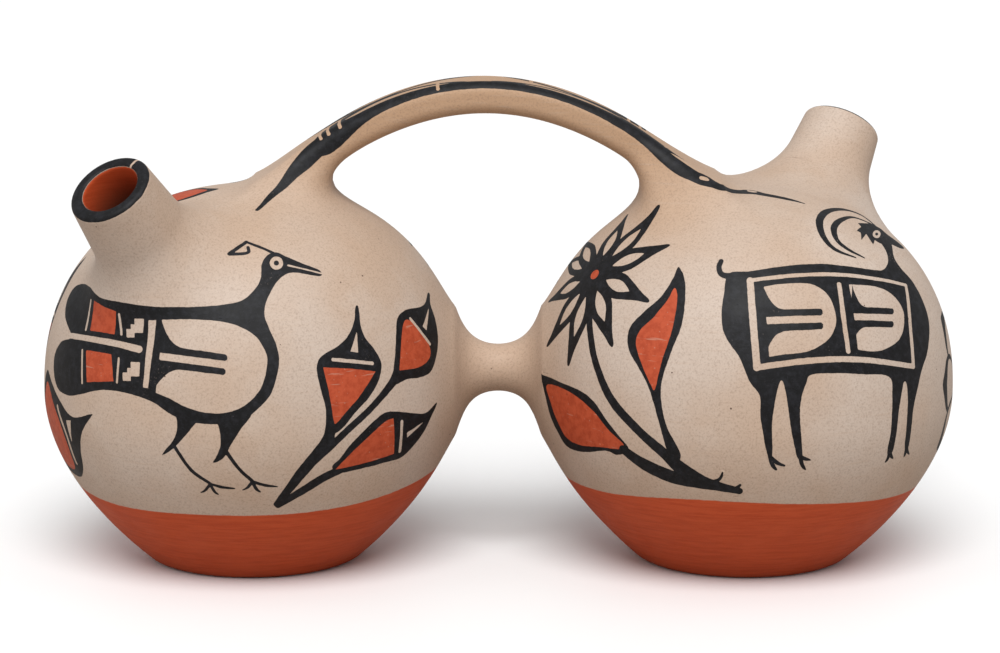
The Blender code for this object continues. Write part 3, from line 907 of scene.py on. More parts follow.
def paint_antelope_body(painting):
    """Body, neck and legs in one black outline, with a raised tail and split hooves."""
    painting.fill(BLACK, (-6.7, 45.3), (2.9, 46.5), (17.5, 48.9), (32.2, 50.1), (45.4, 49.2),
                  (57.2, 47.6), (61.3, 48), (63.1, 51.4), (62.3, 55.8), (60.1, 60), (64.2, 59.7),
                  (65.7, 53.6), (68.9, 48.5), (74.1, 42.6), (78.5, 34.5), (81, 27.2), (81.7, 19.8),
                  (80.7, 11), (78.5, 3.7), (76.6, -5.1), (74.8, -15.4), (72.9, -30.8), (71.4, -30),
                  (72.2, -19.8), (72.6, -9.5), (71.9, -2.4), (70.8, -1.6), (70.1, -5.1), (68.6, -15.4),
                  (66.3, -32), (63.8, -32.6), (65.4, -22), (65.7, -8), (64.2, 0.7), (51.3, 1.6),
                  (39.6, 1.9), (30, 1), (27.8, -2.9), (25.6, -11), (25.6, -21.3), (26.7, -35),
                  (24.2, -35), (21.2, -21.3), (19.8, -11), (17.8, -2.6), (16.2, -2.6), (14.3, -11),
                  (13.1, -21.3), (13.4, -35), (11.4, -35.4), (8, -18.4), (7.6, -8.8), (2.9, -2.2),
                  (-1.5, 8.1), (-5.2, 13.2), (-8.9, 19.8), (-9.9, 27.9), (-8.9, 36))
    painting.stroke(BLACK, (0, 45, 1.6), (-6.5, 44.2, 1.5), (-10.2, 45.2, 1.3), (-11.2, 48.2, 1.2),
                    (-10.3, 50.8, 1.2))
    hooves = [((12.2, -35), ((2.9, -5.9), (6.6, -4.2))), ((25.4, -34.8), ((2.6, -5.9), (4.6, -1.7))),
              ((65, -32), ((-1.9, -4.8), (1.3, -3.2))), ((72.2, -30), ((-1, -4.4), (1.2, -3.2)))]
    for ankle, toes in hooves:
        paint_toes(painting, ankle, toes, half_width=HOOF_HALF_WIDTH)


def paint_antelope_head(painting):
    """Muzzle, ragged ear, two swept horns and the eye."""
    painting.fill(BLACK, (55, 68), (59.4, 66.1), (63.1, 63.1), (69.8, 57.9), (68.6, 57.3), (63.8, 59.2),
                  (60.1, 59.3), (57.2, 60.9), (55.4, 62.7), (53.6, 66))
    painting.fill(BLACK, (57, 67.8), (49.6, 68.3), (51.2, 66.6), (49.2, 65), (51, 64), (51.3, 60.7),
                  (53.4, 63.4), (56.6, 58.6), (57.4, 62), sharp=True)
    painting.stroke(BLACK, (57.2, 67.3, 0.9), (51.3, 71.7, 1.2), (44, 74.1, 1.5), (36.6, 73.5, 2.0),
                    (33, 69.7, 2.1), (34.1, 63.1, 1.7), (39.6, 56.7, 1.1), (49.1, 52.9, 0.4))
    painting.stroke(BLACK, (55.5, 68, 0.8), (47.6, 70.8, 1.1), (42, 69.4, 1.6), (39.2, 66, 1.8),
                    (40.5, 60.9, 1.4), (45.4, 56.7, 1.0), (52.8, 52.9, 0.4))
    paint_eye(painting, (58, 63.5), 1.7)


def paint_antelope_panel(painting):
    """A cream frame around two cream fields, each with a pair of feathers."""
    border = [([(2.6, 42.4), (22, 44.8), (39.6, 45.5), (57.2, 43.9), (71.1, 41.1)], 0.95),
              ([(71.1, 41.1), (73.3, 22.8), (74.8, 5.4)], 1.1),
              ([(74.8, 5.4), (51.3, 8.1), (29.3, 7.3), (6.1, 4)], 1.25),
              ([(2.6, 42.4), (4.3, 22.8), (6.1, 4)], 1.5)]
    for side, half_width in border:
        painting.stroke(CREAM, *[(*point, half_width) for point in side])
    painting.fill(CREAM, (8, 39.6), (8, 39.6), (17.5, 41.1), (29.3, 41.1), (36.6, 36.7), (40.3, 28.6),
                  (40.3, 22.8), (37.4, 16.9), (29.3, 11.7), (19, 10), (10.9, 8.8), (10.9, 8.8))
    painting.fill(CREAM, (45.4, 41.1), (45.4, 41.1), (57.2, 40.4), (64.5, 37.4), (69.7, 30.8),
                  (70.4, 22.8), (68.2, 16.9), (63.1, 13.2), (57.2, 11.7), (49.9, 12.5), (49.9, 12.5))
    painting.stroke(CREAM, (41.8, 41.1, 1.1), (44, 26, 1.1), (46.2, 11.7, 1.1))
    painting.stroke(BLACK, (7.7, 40, 0.9), (10.6, 8.8, 0.9))
    paint_feathers(painting, (8.8, 24.6), (34.9, 25.8), 15.8)
    painting.stroke(BLACK, (45.3, 41.3, 0.9), (49.6, 12.2, 0.9))
    paint_feathers(painting, (47.2, 26.9), (66, 26.6), 14.6)


def paint_antelope(painting):
    """A long-horned antelope with a framed panel on its side, turned to the right."""
    paint_antelope_body(painting)
    paint_antelope_head(painting)
    paint_antelope_panel(painting)


def paint_leaves(painting):
    """A long stem and two red leaves that grow from one foot."""
    painting.stroke(BLACK, (-68.4, 30, 1.9), (-67.6, 16.9, 1.9), (-64.7, 3.7, 1.9), (-58.1, -11, 2.1),
                    (-47.1, -23.5, 2.1), (-35.3, -33.8, 2.4), (-25, -42.5, 3.4), (-14.8, -47.5, 2.7),
                    (-1, -50.7, 1.7))
    painting.fill(BLACK, (-29.6, 47.4), (-28.4, 47.4), (-26.5, 43.3), (-25.8, 36), (-27.2, 22.8),
                  (-30.9, 12.5), (-35.3, -0.7), (-36, -9.5), (-33.8, -21.3), (-27, -35), (-31, -38),
                  (-37.5, -18.4), (-41.2, -6.6), (-45.6, 2.2), (-50, 9.5), (-51.2, 15.4), (-50, 21.3),
                  (-44.1, 27.9), (-36.8, 34.5), (-31.6, 42.6))
    painting.fill(RED, (-30.6, 38.6), (-29.4, 33), (-31.6, 19.8), (-35.3, 8.1), (-37.5, -0.7),
                  (-39, -6.6), (-40.9, -3.7), (-44.9, 5.1), (-47.4, 14), (-45.6, 19.8), (-39.7, 25.7),
                  (-33.9, 33))
    painting.fill(BLACK, (-89.2, -0.6), (-88.4, -0.6), (-80.8, -3.7), (-72, -7.3), (-65.4, -12.5),
                  (-60.3, -19.8), (-54.4, -27.2), (-50, -33), (-55, -35.6), (-60.3, -33.8),
                  (-70.6, -34.5), (-77.2, -32.3), (-80.8, -27.2), (-84.5, -19.8), (-87.4, -9.5))
    painting.fill(RED, (-86.7, -5.1), (-79.4, -6.6), (-72, -11), (-65.4, -16.9), (-59.5, -24.2),
                  (-52.4, -30.8), (-53.7, -33), (-61.7, -32.3), (-72, -31.3), (-77.9, -27.9),
                  (-81.6, -21.3), (-84.5, -14))
    painting.stroke(BLACK, (-52.5, -33.2, 2.1), (-43, -39.6, 3.0), (-31, -44.8, 3.3), (-19, -47.6, 2.6),
                    (-7, -49.4, 1.8))
    painting.stroke(BLACK, (-13, -47, 0.9), (-9.6, -45.4, 0.7), (-8.4, -42.6, 0.35))
    painting.stroke(BLACK, (-3, -50, 1.0), (-0.6, -48, 0.6))


def paint_petals(painting):
    """Pointed petals around a red heart; their tips are laid on the jar first, so that they stay whole."""
    tips = [(-38.2, 74.7), (-33.5, 57.5), (-42.3, 32.7), (-58.1, 12.8), (-77.3, 4), (-86.7, 12.3),
            (-86.3, 32), (-79, 50.5), (-69.8, 58.5), (-52, 70.8)]
    centre, *tips = painting.face.laid(np.array([(-66.1, 44.2)] + tips))
    petals = Painting()
    rim = [(0.0, 0.5), (0.28, 0.86), (0.5, 1.0), (0.7, 0.66), (0.86, 0.34), (1.0, 0.13)]
    hollow = [(0.28, 0.05), (0.40, 0.36), (0.54, 0.40), (0.68, 0.06)]
    for tip in tips:
        petals.fill(BLACK, *along_axis(centre, tip, mirrored(rim), PETAL_HALF_WIDTH))
        petals.fill(CREAM, *along_axis(centre, tip, mirrored(hollow), PETAL_HALF_WIDTH))
    petals.fill(BLACK, *ring(centre, 5.0))
    petals.fill(RED, *ring(centre, 2.8))
    painting.shapes.extend(petals.shapes)


def paint_flower(painting):
    """A many-petalled flower on its leafy stem."""
    paint_leaves(painting)
    paint_petals(painting)


def jar_paintings(form):
    """A bird and buds on the left jar, an antelope and a flower on the right, and the painting of both ends.

    Each comes with whether the back repeats it.
    """
    eye = camera_place()
    left = Painting(Face(form, -1, eye))
    paint_bird(left)
    paint_spray(left)
    right = Painting(Face(form, 1, eye))
    paint_flower(right)
    paint_antelope(right)
    side = Painting(Face(form, -1, (-CAMERA_DISTANCE, 0.0, FACE_HEIGHT)), as_seen=False)
    paint_side_spray(side)
    far = Painting(Face(form, 1, (CAMERA_DISTANCE, 0.0, FACE_HEIGHT)), as_seen=False)
    paint_side_flower(far)
    return (left, True), (right, True), (side, False), (far, False)


def camera_place():
    """Where the camera stands."""
    tilt = math.radians(CAMERA_ELEVATION)
    return (CAMERA_TARGET[0], -CAMERA_DISTANCE * math.cos(tilt),
            CAMERA_TARGET[2] + CAMERA_DISTANCE * math.sin(tilt))


def jar_paint(paintings, points):
    """Black and red distances on the jars; the back repeats the front after half a turn and a swing."""
    black = np.full(len(points), PAINT_REACH)
    red = np.full(len(points), PAINT_REACH)
    cosine, sine = math.cos(BACK_SWING), math.sin(BACK_SWING)
    for painting, repeats in paintings:
        face = painting.face
        for back in (False, True) if repeats else (False,):
            turned = points
            if back:
                x, y = -points[:, 0] - face.middle[0], -points[:, 1]
                turned_x = face.middle[0] + x * cosine + y * sine
                turned = np.stack([turned_x, y * cosine - x * sine, points[:, 2]], 1)
            toward = (turned - face.middle) @ face.toward
            mine = np.flatnonzero((turned[:, 0] * face.side > 0.0) & (toward > FACE_WRAP))
            dark, warm = painting.distances(face.chart(turned[mine]))
            black[mine] = np.minimum(black[mine], dark)
            red[mine] = np.minimum(red[mine], warm)
    return black, red


def sight_points(form, seen, turn):
    """Points of the camera's plane put on the pot's skin along lines of sight; turn -1 is the back."""
    around = np.array([turn, turn, 1.0])
    strap_shift = form.sizes.handle_shift * (1.0 - turn)
    eye, target = np.array(camera_place()) * around, np.array(CAMERA_TARGET) * around
    toward = (eye - target) / CAMERA_DISTANCE
    right = np.array([turn, 0.0, 0.0])
    up = np.cross(toward, right)
    seen = np.array(seen) / MILLIMETRES
    plane = target + (seen[:, :1] - strap_shift) * right + seen[:, 1:2] * up
    return meet_skin(form, eye, plane, CAMERA_DISTANCE - STRAP_START)


def strap_points(form, along, across, drop):
    """Points of the strap: along it, across it and some way below its top."""
    sizes = form.sizes
    height, slope, _ = form.handle_curve(along)
    run = 1.0 / np.sqrt(1.0 + slope ** 2)
    lift = run * (sizes.handle_thickness / 2 - drop)
    return np.stack([along + sizes.handle_shift - slope * lift, across + 0.0 * along, height + lift], 1)


def handle_line(form, turn):
    """The brush line on the strap's edge with its tails on the domes; the back's stops short of the bud."""
    front = -form.sizes.handle_width / 2
    along = np.linspace(STRAP_LINE_LEFT, STRAP_LINE_RIGHT, STRAP_LINE_POINTS)
    spread = LINE_HALF_WIDTH * (1.0 + LINE_SPREAD * (along / STRAP_LINE_RIGHT) ** 4)
    low = np.where(along < 0.0, (along / STRAP_LINE_LEFT) ** 4, 0.0)
    across = front + LINE_INSET - LINE_LEFT_OUT * low
    drop = LINE_DROP + LINE_LEFT_DROP * low
    edge = np.column_stack([strap_points(form, along * turn, across * turn, drop), spread])
    tails = []
    for tail in (LEFT_TAIL, RIGHT_TAIL if turn > 0.0 else RIGHT_TAIL[:BACK_TAIL_POINTS]):
        half_widths = np.array(tail)[:, 2] / MILLIMETRES
        tails.append(np.column_stack([sight_points(form, tail, turn), half_widths]))
    return curve_through(np.concatenate([tails[0], edge, tails[1]]))


def line_lights(form, turn):
    """Cream lights left in the line: bars across the strap's edge and small eyes in the right tail."""
    front = -form.sizes.handle_width / 2
    lights = []
    for bar in BARS:
        along = np.full(len(BAR_ACROSS), bar * turn)
        points = strap_points(form, along, (front + BAR_ACROSS) * turn, BAR_DROP)
        lights.append(np.column_stack([points, np.full(len(points), BAR_HALF_WIDTH)]))
    for x, y, z in sight_points(form, LINE_EYES if turn > 0.0 else LINE_EYES[:1], turn):
        ends = (x - EYE_HALF_LENGTH, x + EYE_HALF_LENGTH)
        lights.append(np.array([(end, y, z, EYE_HALF_WIDTH) for end in ends]))
    return lights


def handle_painting():
    """Feathers and bars on top of the strap, in millimetres along it and across it."""
    painting = Painting()
    painting.fill(BLACK, (-70, -15), (-68.5, -9), (-65, -2), (-50, 2), (-34, 1), (-20, -3), (-8, -8),
                  (-8, -14), (-40, -16))
    painting.fill(CREAM, (-57, -8.8), (-47, -4), (-36, -3), (-24, -5.5), (-14, -9.5), (-30, -10.6),
                  (-46, -10.4))
    painting.fill(BLACK, (4, -14), (4, -8), (18, -5), (34, -2), (50, -1), (64, -4), (76, -10),
                  (80, -14), (50, -16))
    painting.fill(CREAM, (16, -8.5), (30, -5.5), (46, -4), (56, -5.5), (46, -8), (30, -9.5))
    return painting


def spout_paint(form, points, black):
    """Black lips, each with a narrow break in its ring and a bare line at its inner edge."""
    sizes = form.sizes
    for spout in form.spouts:
        centre, direction, rim = spout
        across, along = form.spout_place(points, spout)
        near = across < SPOUT_REACH
        band = np.where(across > sizes.rim_radius - LIP_EDGE, LIP_OUTSIDE, LIP_INSIDE)
        below = (rim - along) * MILLIMETRES - band
        offset = points - centre - along[:, None] * direction
        level = np.cross(direction, UP)
        level /= np.linalg.norm(level)
        steep = np.cross(level, direction)
        turn = np.arctan2(offset @ steep, offset @ level)
        from_break = np.abs((turn - LIP_BREAK + math.pi) % (2 * math.pi) - math.pi)
        gap = LIP_BREAK_HALF_WIDTH - from_break * across * MILLIMETRES
        bare = (sizes.rim_radius - sizes.spout_wall + LIP_BARE - across) * MILLIMETRES
        black[near] = np.minimum(black[near], np.max([below, gap, bare], axis=0)[near])
    return black


def crown_paint(crown_bud, points, black, red):
    """Black and red distances with the bud on the left dome, behind the spout."""
    dark, warm = crown_bud.distances(crown_bud.face.chart(points))
    dome = (points[:, 0] < 0.0) & (points[:, 2] > CROWN_HEIGHT)
    return np.where(dome, np.minimum(black, dark), black), np.where(dome, np.minimum(red, warm), red)


def strap_paint(form, strap, lines, points):
    """Black distances of the strap's feathers and of the lines on its edges."""
    black = np.full(len(points), np.inf)
    nearest, above, _ = form.handle_place(points)
    depth = np.maximum(form.sizes.handle_thickness / 2 - above, 0.0)
    folded = np.where(depth > STRAP_TOP_DEPTH, depth, 0.0)
    across = points[:, 1] + np.sign(points[:, 1]) * folded
    off_strap = form.handle(points) > STRAP_PAINT_REACH
    for turn, line, lights in lines:
        on_strap, _ = strap.distances(turn * np.stack([nearest, across], 1) * MILLIMETRES)
        on_strap[off_strap] = PAINT_REACH
        dark = np.minimum(stroke_distance(points, line) * MILLIMETRES, on_strap)
        for light in lights:
            dark = np.maximum(dark, -stroke_distance(points, light) * MILLIMETRES)
        black = np.minimum(black, dark)
    return black


def band_wobble(points):
    """Less than a millimetre of unsteadiness along the edge of a band."""
    return 0.0005 * np.sin(points[:, 0] * 61.0) + 0.0004 * np.sin(points[:, 1] * 97.0 + 1.0)


def slip_distance(form, points, outer):
    """Distance above the red bands outside, and below the red of the mouths inside, where it fades into the
    dark clay that gives the bores painted shade.
    """
    left_x, right_x = points[:, 0] + form.half_spacing, points[:, 0] - form.half_spacing
    left_band = LEFT_BAND + LEFT_TILT * left_x + LEFT_BOW * left_x ** 2
    right_band = RIGHT_BAND + RIGHT_TILT * right_x + RIGHT_BOW * right_x ** 2
    band = np.where(points[:, 0] < 0.0, left_band, right_band)
    above = points[:, 2] - band + band_wobble(points)
    depths = [spout[2] - form.spout_place(points, spout)[1] for spout in form.spouts]
    inside = (np.min(depths, axis=0) - BORE_SLIP_DEPTH) * BORE_FADE
    return np.where(outer, above, inside) * MILLIMETRES


def tan_share(form, points):
    """How far the slip is tan: on the handle, around its feet and on the tube."""
    sideways, height = np.abs(points[:, 0]), points[:, 2]
    high = smooth_step((height - TAN_START) / TAN_RISE)
    handle = high * smooth_step(TAN_SPREAD - sideways / form.half_spacing)
    tube = TUBE_TAN * smooth_step(TUBE_TAN_SPREAD - sideways / TUBE_TAN_REACH)
    return np.maximum(handle, tube * (height < TUBE_TAN_TOP))


def surface_paint(form, points, paintings):
    """Paint distances in millimetres and the kind of surface, at points of the clay."""
    faces, strap, lines, crown_bud = paintings
    outer = np.abs(form.outside(points)) < np.abs(form.hollow(points)) + SKIN_DEPTH
    black, red = jar_paint(faces, points)
    off_jar = np.minimum(form.jar(points, -1), form.jar(points, 1)) > JAR_PAINT_REACH
    black[off_jar] = PAINT_REACH
    red[off_jar] = PAINT_REACH
    black, red = crown_paint(crown_bud, points, black, red)
    high = np.flatnonzero(points[:, 2] > CROWN_HEIGHT)
    black[high] = np.minimum(black[high], strap_paint(form, strap, lines, points[high]))
    black = spout_paint(form, points, black)
    black = np.where(outer | (black < 0.0), black, PAINT_REACH)
    red = np.where(outer, red, PAINT_REACH)
    # The inside mask gives the dark clay colour: unslipped clay, made darker as painted shade deep in the
    # bores and chambers
    return {"black": black, "red": red, "slip": slip_distance(form, points, outer),
            "raw": np.where(outer, 0.0, 1.0), "tan": tan_share(form, points)}


@lru_cache(maxsize=1)
def canteen_paintings(form):
    """Everything that is painted, worked out once."""
    above_crown = (-form.half_spacing, -OFF_PLUMB, CAMERA_DISTANCE)
    crown_bud = Painting(Face(form, -1, above_crown), as_seen=False)
    crown_bud.fill(BLACK, (-52, -4), (-45, 9), (-36, 13), (-26, 8), (-20, 0), (-15, -5), (-20, -10),
                   (-26, -14.5), (-35, -17), (-46, -14))
    crown_bud.fill(RED, (-48.5, -4), (-43, 6.5), (-36, 10.3), (-28, 6), (-22.5, -1), (-20.5, -5),
                   (-24, -9), (-28, -12), (-35, -14.3), (-44.5, -11.5))
    lines = [(turn, handle_line(form, turn), line_lights(form, turn)) for turn in (1.0, -1.0)]
    return jar_paintings(form), handle_painting(), lines, crown_bud


def paint_mesh(mesh, form, paintings, rounds):
    """Keep paint distances on a mesh, with its faces divided finely where a painted edge is near."""
    paint = surface_paint(form, mesh_points(mesh), paintings)
    for reach, cuts, spread in rounds:
        edges = set()
        work = bmesh.new()
        work.from_mesh(mesh)
        work.faces.ensure_lookup_table()
        for index in crossed_faces(mesh, paint, reach, spread).tolist():
            if work.faces[index].smooth:
                edges.update(work.faces[index].edges)
        if edges:
            bmesh.ops.subdivide_edges(work, edges=list(edges), cuts=cuts, use_grid_fill=True)
        work.to_mesh(mesh)
        work.free()
        points = mesh_points(mesh)
        known = len(paint["black"])
        points[known:] = settle(form.clay, points[known:], rounds=1)
        mesh.vertices.foreach_set("co", points.ravel())
        fresh = surface_paint(form, points[known:], paintings)
        paint = {name: np.concatenate([values, fresh[name]]) for name, values in paint.items()}
    mesh.update()
    for name, values in paint.items():
        layer = mesh.attributes.new(name, "FLOAT", "POINT")
        layer.data.foreach_set("value", values.astype(np.float32))


def crossed_faces(mesh, paint, reach, spread):
    """Faces with a painted edge across them or within reach, whose distances spread less than a limit."""
    starts = np.empty(len(mesh.polygons), np.int32)
    mesh.polygons.foreach_get("loop_start", starts)
    corners = np.empty(len(mesh.loops), np.int32)
    mesh.loops.foreach_get("vertex_index", corners)
    crossed = np.zeros(len(starts), bool)
    for name in ("black", "red"):
        gaps = paint[name][corners]
        least, most = np.minimum.reduceat(gaps, starts), np.maximum.reduceat(gaps, starts)
        crossed |= (least < reach) & (most > -reach) & (most - least < spread)
    return np.flatnonzero(crossed)


def mesh_points(mesh):
    """The mesh's vertices as rows of x, y and z."""
    points = np.empty(3 * len(mesh.vertices))
    mesh.vertices.foreach_get("co", points)
    return points.reshape(-1, 3)


def srgb(red, green, blue):
    """A screen colour, 0 to 255, as the linear colour that materials use, by the usual formula."""
    linear = []
    for value in (red, green, blue):
        share = value / 255.0
        linear.append(share / 12.92 if share <= 0.04045 else ((share + 0.055) / 1.055) ** 2.4)
    return tuple(linear)


def colour(name, screen, description):
    """A property that holds a colour, given here as it shows on screen."""
    return FloatVectorProperty(name=name, default=srgb(*screen), description=description, subtype="COLOR",
                               min=0.0, max=1.0)


class CanteenColours(PropertyGroup):
    """Colours of the clay and paint."""

    cream: colour("Cream slip", (200, 183, 169), "Burnished cream slip")
    cream_warm: colour("Warm cream", (192, 168, 148), "Slip where the fire left it tan")
    cream_pale: colour("Pale cream", (206, 191, 178), "Slip where it is thickest")
    tan: colour("Tan slip", (186, 152, 122), "Thin slip on the handle and its feet")
    speck: colour("Speck", (128, 104, 88), "Dark grains in the slip")
    pit: colour("Pit", (74, 52, 40), "Pits where a grain burned out")
    slip_red: colour("Red slip", (200, 84, 44), "Burnished red slip of the bases")
    slip_dark: colour("Dark red slip", (186, 73, 35), "Red slip where it is thin")
    paint_red: colour("Red paint", (188, 82, 50), "Red filling of leaves and buds")
    paint_rust: colour("Rust paint", (170, 68, 38), "Red filling where the brush was full")
    black: colour("Black paint", (8, 8, 11), "Black mineral paint")
    black_thin: colour("Thin black", (40, 41, 47), "Black paint where it is thin")
    # Unslipped inside, darkened beyond the clay's own colour as painted shade deep in the bores and chambers
    clay: colour("Raw clay", (84, 46, 32), "Unslipped inside of the jars")


class Graph:
    """A material's nodes, added one at a time."""

    SPECK_EDGE = -0.06

    def __init__(self, name):
        """A new material with its shader and the place on the object."""
        self.material = bpy.data.materials.new(name)
        self.material.use_nodes = True
        self.tree = self.material.node_tree
        self.shader = self.tree.nodes["Principled BSDF"]
        self.place = self.add("ShaderNodeTexCoord", {}, output="Object")

    def add(self, kind, inputs, output=0, **settings):
        """A new node with its inputs and settings; gives one of its outputs."""
        node = self.tree.nodes.new(kind)
        for name, value in settings.items():
            setattr(node, name, value)
        for name, value in inputs.items():
            self.put(node.inputs[name], value)
        return node.outputs[output]

    def put(self, socket, value):
        """Link a node's output to a socket, or set the socket to a value; a colour gets its alpha."""
        if isinstance(value, bpy.types.NodeSocket):
            self.tree.links.new(value, socket)
        elif hasattr(value, "__len__") and len(value) < len(socket.default_value):
            socket.default_value = (*value, 1.0)
        else:
            socket.default_value = value

    def plus(self, first, second):
        """The sum of two values."""
        return self.add("ShaderNodeMath", {0: first, 1: second}, operation="ADD")

    def minus(self, first, second):
        """The first value less the second."""
        return self.add("ShaderNodeMath", {0: first, 1: second}, operation="SUBTRACT")

    def times(self, first, second):
        """The product of two values."""
        return self.add("ShaderNodeMath", {0: first, 1: second}, operation="MULTIPLY")

    def mix(self, share, first, second):
        """A colour between two, at a share of the way to the second."""
        return self.add("ShaderNodeMix", {0: share, 6: first, 7: second}, output=2, data_type="RGBA")

    def ramp(self, value, low, high, start=0.0, end=1.0):
        """An eased change from a start to an end while the value goes from low to high."""
        inputs = {"Value": value, "From Min": low, "From Max": high, "To Min": start, "To Max": end}
        return self.add("ShaderNodeMapRange", inputs, interpolation_type="SMOOTHSTEP")

    def noise(self, scale, detail, roughness=0.5, stretch=None):
        """Soft noise with so many patches to the metre, squeezed along an axis by its stretch."""
        place = self.place
        if stretch:
            place = self.add("ShaderNodeMapping", {"Vector": place, "Scale": stretch})
        inputs = {"Vector": place, "Scale": scale, "Detail": detail, "Roughness": roughness}
        return self.add("ShaderNodeTexNoise", inputs)

    def specks(self, scale, size, share):
        """1 inside scattered dots of unlike sizes; the share says how many cells hold one."""
        cells = self.tree.nodes.new("ShaderNodeTexVoronoi")
        self.put(cells.inputs["Vector"], self.place)
        self.put(cells.inputs["Scale"], scale)
        chance = self.add("ShaderNodeSeparateColor", {"Color": cells.outputs["Color"]})
        radius = self.ramp(chance, 1.0 - share, 1.0, 0.0, size)
        return self.ramp(self.minus(cells.outputs["Distance"], radius), 0.0, self.SPECK_EDGE)

    def attribute(self, name):
        """A value kept on the mesh."""
        return self.add("ShaderNodeAttribute", {}, output="Fac", attribute_name=name)


def clay_patterns(graph):
    """Noises and specks that the slips and paints share."""
    return SimpleNamespace(
        broad=graph.noise(14.0, detail=3.0),
        cloud=graph.noise(45.0, detail=4.0, roughness=0.6),
        mottle=graph.noise(330.0, detail=3.0, roughness=0.6),
        grain=graph.noise(1100.0, detail=3.0, roughness=0.75),
        streak=graph.noise(60.0, detail=4.0, roughness=0.65, stretch=STREAK_STRETCH),
        scratch=graph.noise(70.0, detail=2.0, stretch=SCRATCH_STRETCH),
        pits=graph.specks(330.0, size=0.18, share=0.035),
        dots=graph.specks(900.0, size=0.34, share=0.14))


def paint_edge(graph):
    """Small ups and downs, in millimetres, that make a painted edge ragged."""
    fine = graph.times(graph.noise(420.0, detail=3.0), 0.9)
    coarse = graph.times(graph.noise(130.0, detail=1.0), 0.8)
    return graph.times(graph.minus(graph.plus(fine, coarse), 0.85), 0.45)


def cream_slip(graph, patterns, colours):
    """Cream slip: cloudy, tan where it is thin, with streaks, grains and pits."""
    cream = graph.mix(graph.ramp(patterns.broad, 0.36, 0.68), colours.cream, colours.cream_warm)
    cream = graph.mix(graph.ramp(patterns.cloud, 0.45, 0.80, end=0.45), cream, colours.cream_pale)
    cream = graph.mix(graph.attribute("tan"), cream, colours.tan)
    cream = graph.mix(graph.ramp(patterns.streak, 0.50, 0.76, end=0.45), cream, colours.cream_warm)
    cream = graph.mix(graph.ramp(patterns.grain, 0.44, 0.74, end=0.42), cream, colours.speck)
    cream = graph.mix(graph.times(patterns.dots, 0.20), cream, colours.speck)
    return graph.mix(graph.times(patterns.pits, 0.85), cream, colours.pit)


def red_slip(graph, patterns, colours):
    """Red slip of the bases and mouths, streaked by the rag and grained."""
    red = graph.mix(graph.ramp(patterns.streak, 0.35, 0.70), colours.slip_red, colours.slip_dark)
    return graph.mix(graph.ramp(patterns.grain, 0.58, 0.85, end=0.30), red, colours.pit)


def red_paint(graph, patterns, colours):
    """Red paint that shows the cream in scratches and dots."""
    red = graph.mix(graph.ramp(patterns.mottle, 0.35, 0.68), colours.paint_red, colours.paint_rust)
    red = graph.mix(graph.ramp(patterns.scratch, 0.66, 0.71, end=0.32), red, colours.cream_warm)
    return graph.mix(graph.times(patterns.dots, 0.25), red, colours.cream_warm)


def black_paint(graph, patterns, colours):
    """Black paint that turns grey where it is thin."""
    dark = graph.mix(graph.ramp(patterns.mottle, 0.40, 0.75, end=0.5), colours.black, colours.black_thin)
    return graph.mix(graph.ramp(patterns.grain, 0.52, 0.80, end=0.8), dark, colours.black_thin)


def clay_relief(graph, patterns, paint):
    """Bumps of grain, streaks and mottling, with sunk pits and slightly raised paint."""
    height = graph.plus(graph.times(patterns.grain, 0.4), graph.times(patterns.streak, 0.5))
    height = graph.plus(height, graph.times(patterns.mottle, 0.5))
    height = graph.minus(height, graph.times(patterns.pits, 1.5))
    height = graph.plus(height, graph.times(paint, 0.12))
    return graph.add("ShaderNodeBump", {"Height": height, "Strength": BUMP_STRENGTH, "Distance": BUMP_HEIGHT})


def painted_clay(colours):
    """Burnished slip under mineral paint; the paint's edges come from distances kept on the mesh."""
    graph = Graph("painted_clay")
    patterns = clay_patterns(graph)
    ragged = paint_edge(graph)
    raw = graph.attribute("raw")
    slip_edge = graph.times(ragged, graph.minus(1.0, raw))
    slip = graph.ramp(graph.plus(graph.attribute("slip"), slip_edge), SLIP_EDGE, -SLIP_EDGE)
    red = graph.ramp(graph.plus(graph.attribute("red"), ragged), RED_EDGE, -RED_EDGE)
    black = graph.ramp(graph.plus(graph.attribute("black"), ragged), BLACK_EDGE, -BLACK_EDGE)
    wear = graph.plus(graph.times(patterns.grain, 0.6), graph.times(patterns.cloud, 0.4))
    worn = graph.times(graph.ramp(wear, 0.62, 0.74), BLACK_WEAR)
    black = graph.times(black, graph.minus(1.0, worn))
    # Inside surfaces take the dark clay colour, which is the raw clay darkened as painted shade
    surface = graph.mix(raw, cream_slip(graph, patterns, colours), colours.clay)
    surface = graph.mix(slip, surface, red_slip(graph, patterns, colours))
    surface = graph.mix(red, surface, red_paint(graph, patterns, colours))
    surface = graph.mix(black, surface, black_paint(graph, patterns, colours))
    rough = graph.plus(graph.ramp(patterns.cloud, 0.3, 0.7, 0.44, 0.56), graph.times(patterns.grain, 0.12))
    graph.put(graph.shader.inputs["Base Color"], surface)
    graph.put(graph.shader.inputs["Roughness"], rough)
    graph.put(graph.shader.inputs["Specular IOR Level"], SHEEN)
    graph.put(graph.shader.inputs["Normal"], clay_relief(graph, patterns, graph.plus(black, red)))
    return graph.material


@lru_cache(maxsize=1)
def form_for(names, values):
    """The form for a set of sizes, kept until another set is asked for."""
    return CanteenForm(SimpleNamespace(**dict(zip(names, values))))


def canteen_form():
    """The form with the sizes that are set in the sidebar."""
    sizes = bpy.context.scene.canteen_sizes
    names = tuple(CanteenSizes.__annotations__)
    return form_for(names, tuple(getattr(sizes, name) for name in names))


def finish_piece(piece, node, rounds=CLOSE_ROUNDS):
    """Paint a piece and hand it to the frame."""
    form = canteen_form()
    paint_mesh(piece.data, form, canteen_paintings(form), rounds)
    material = bpy.data.materials.get("painted_clay") or painted_clay(bpy.context.scene.canteen_colours)
    piece.data.materials.append(material)
    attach(piece, "root")
    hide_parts(node)


def spout_joint(spout):
    """Where a spout's own piece starts on its axis."""
    centre, direction, rim = spout
    return centre + direction * (rim - SPOUT_PIECE)


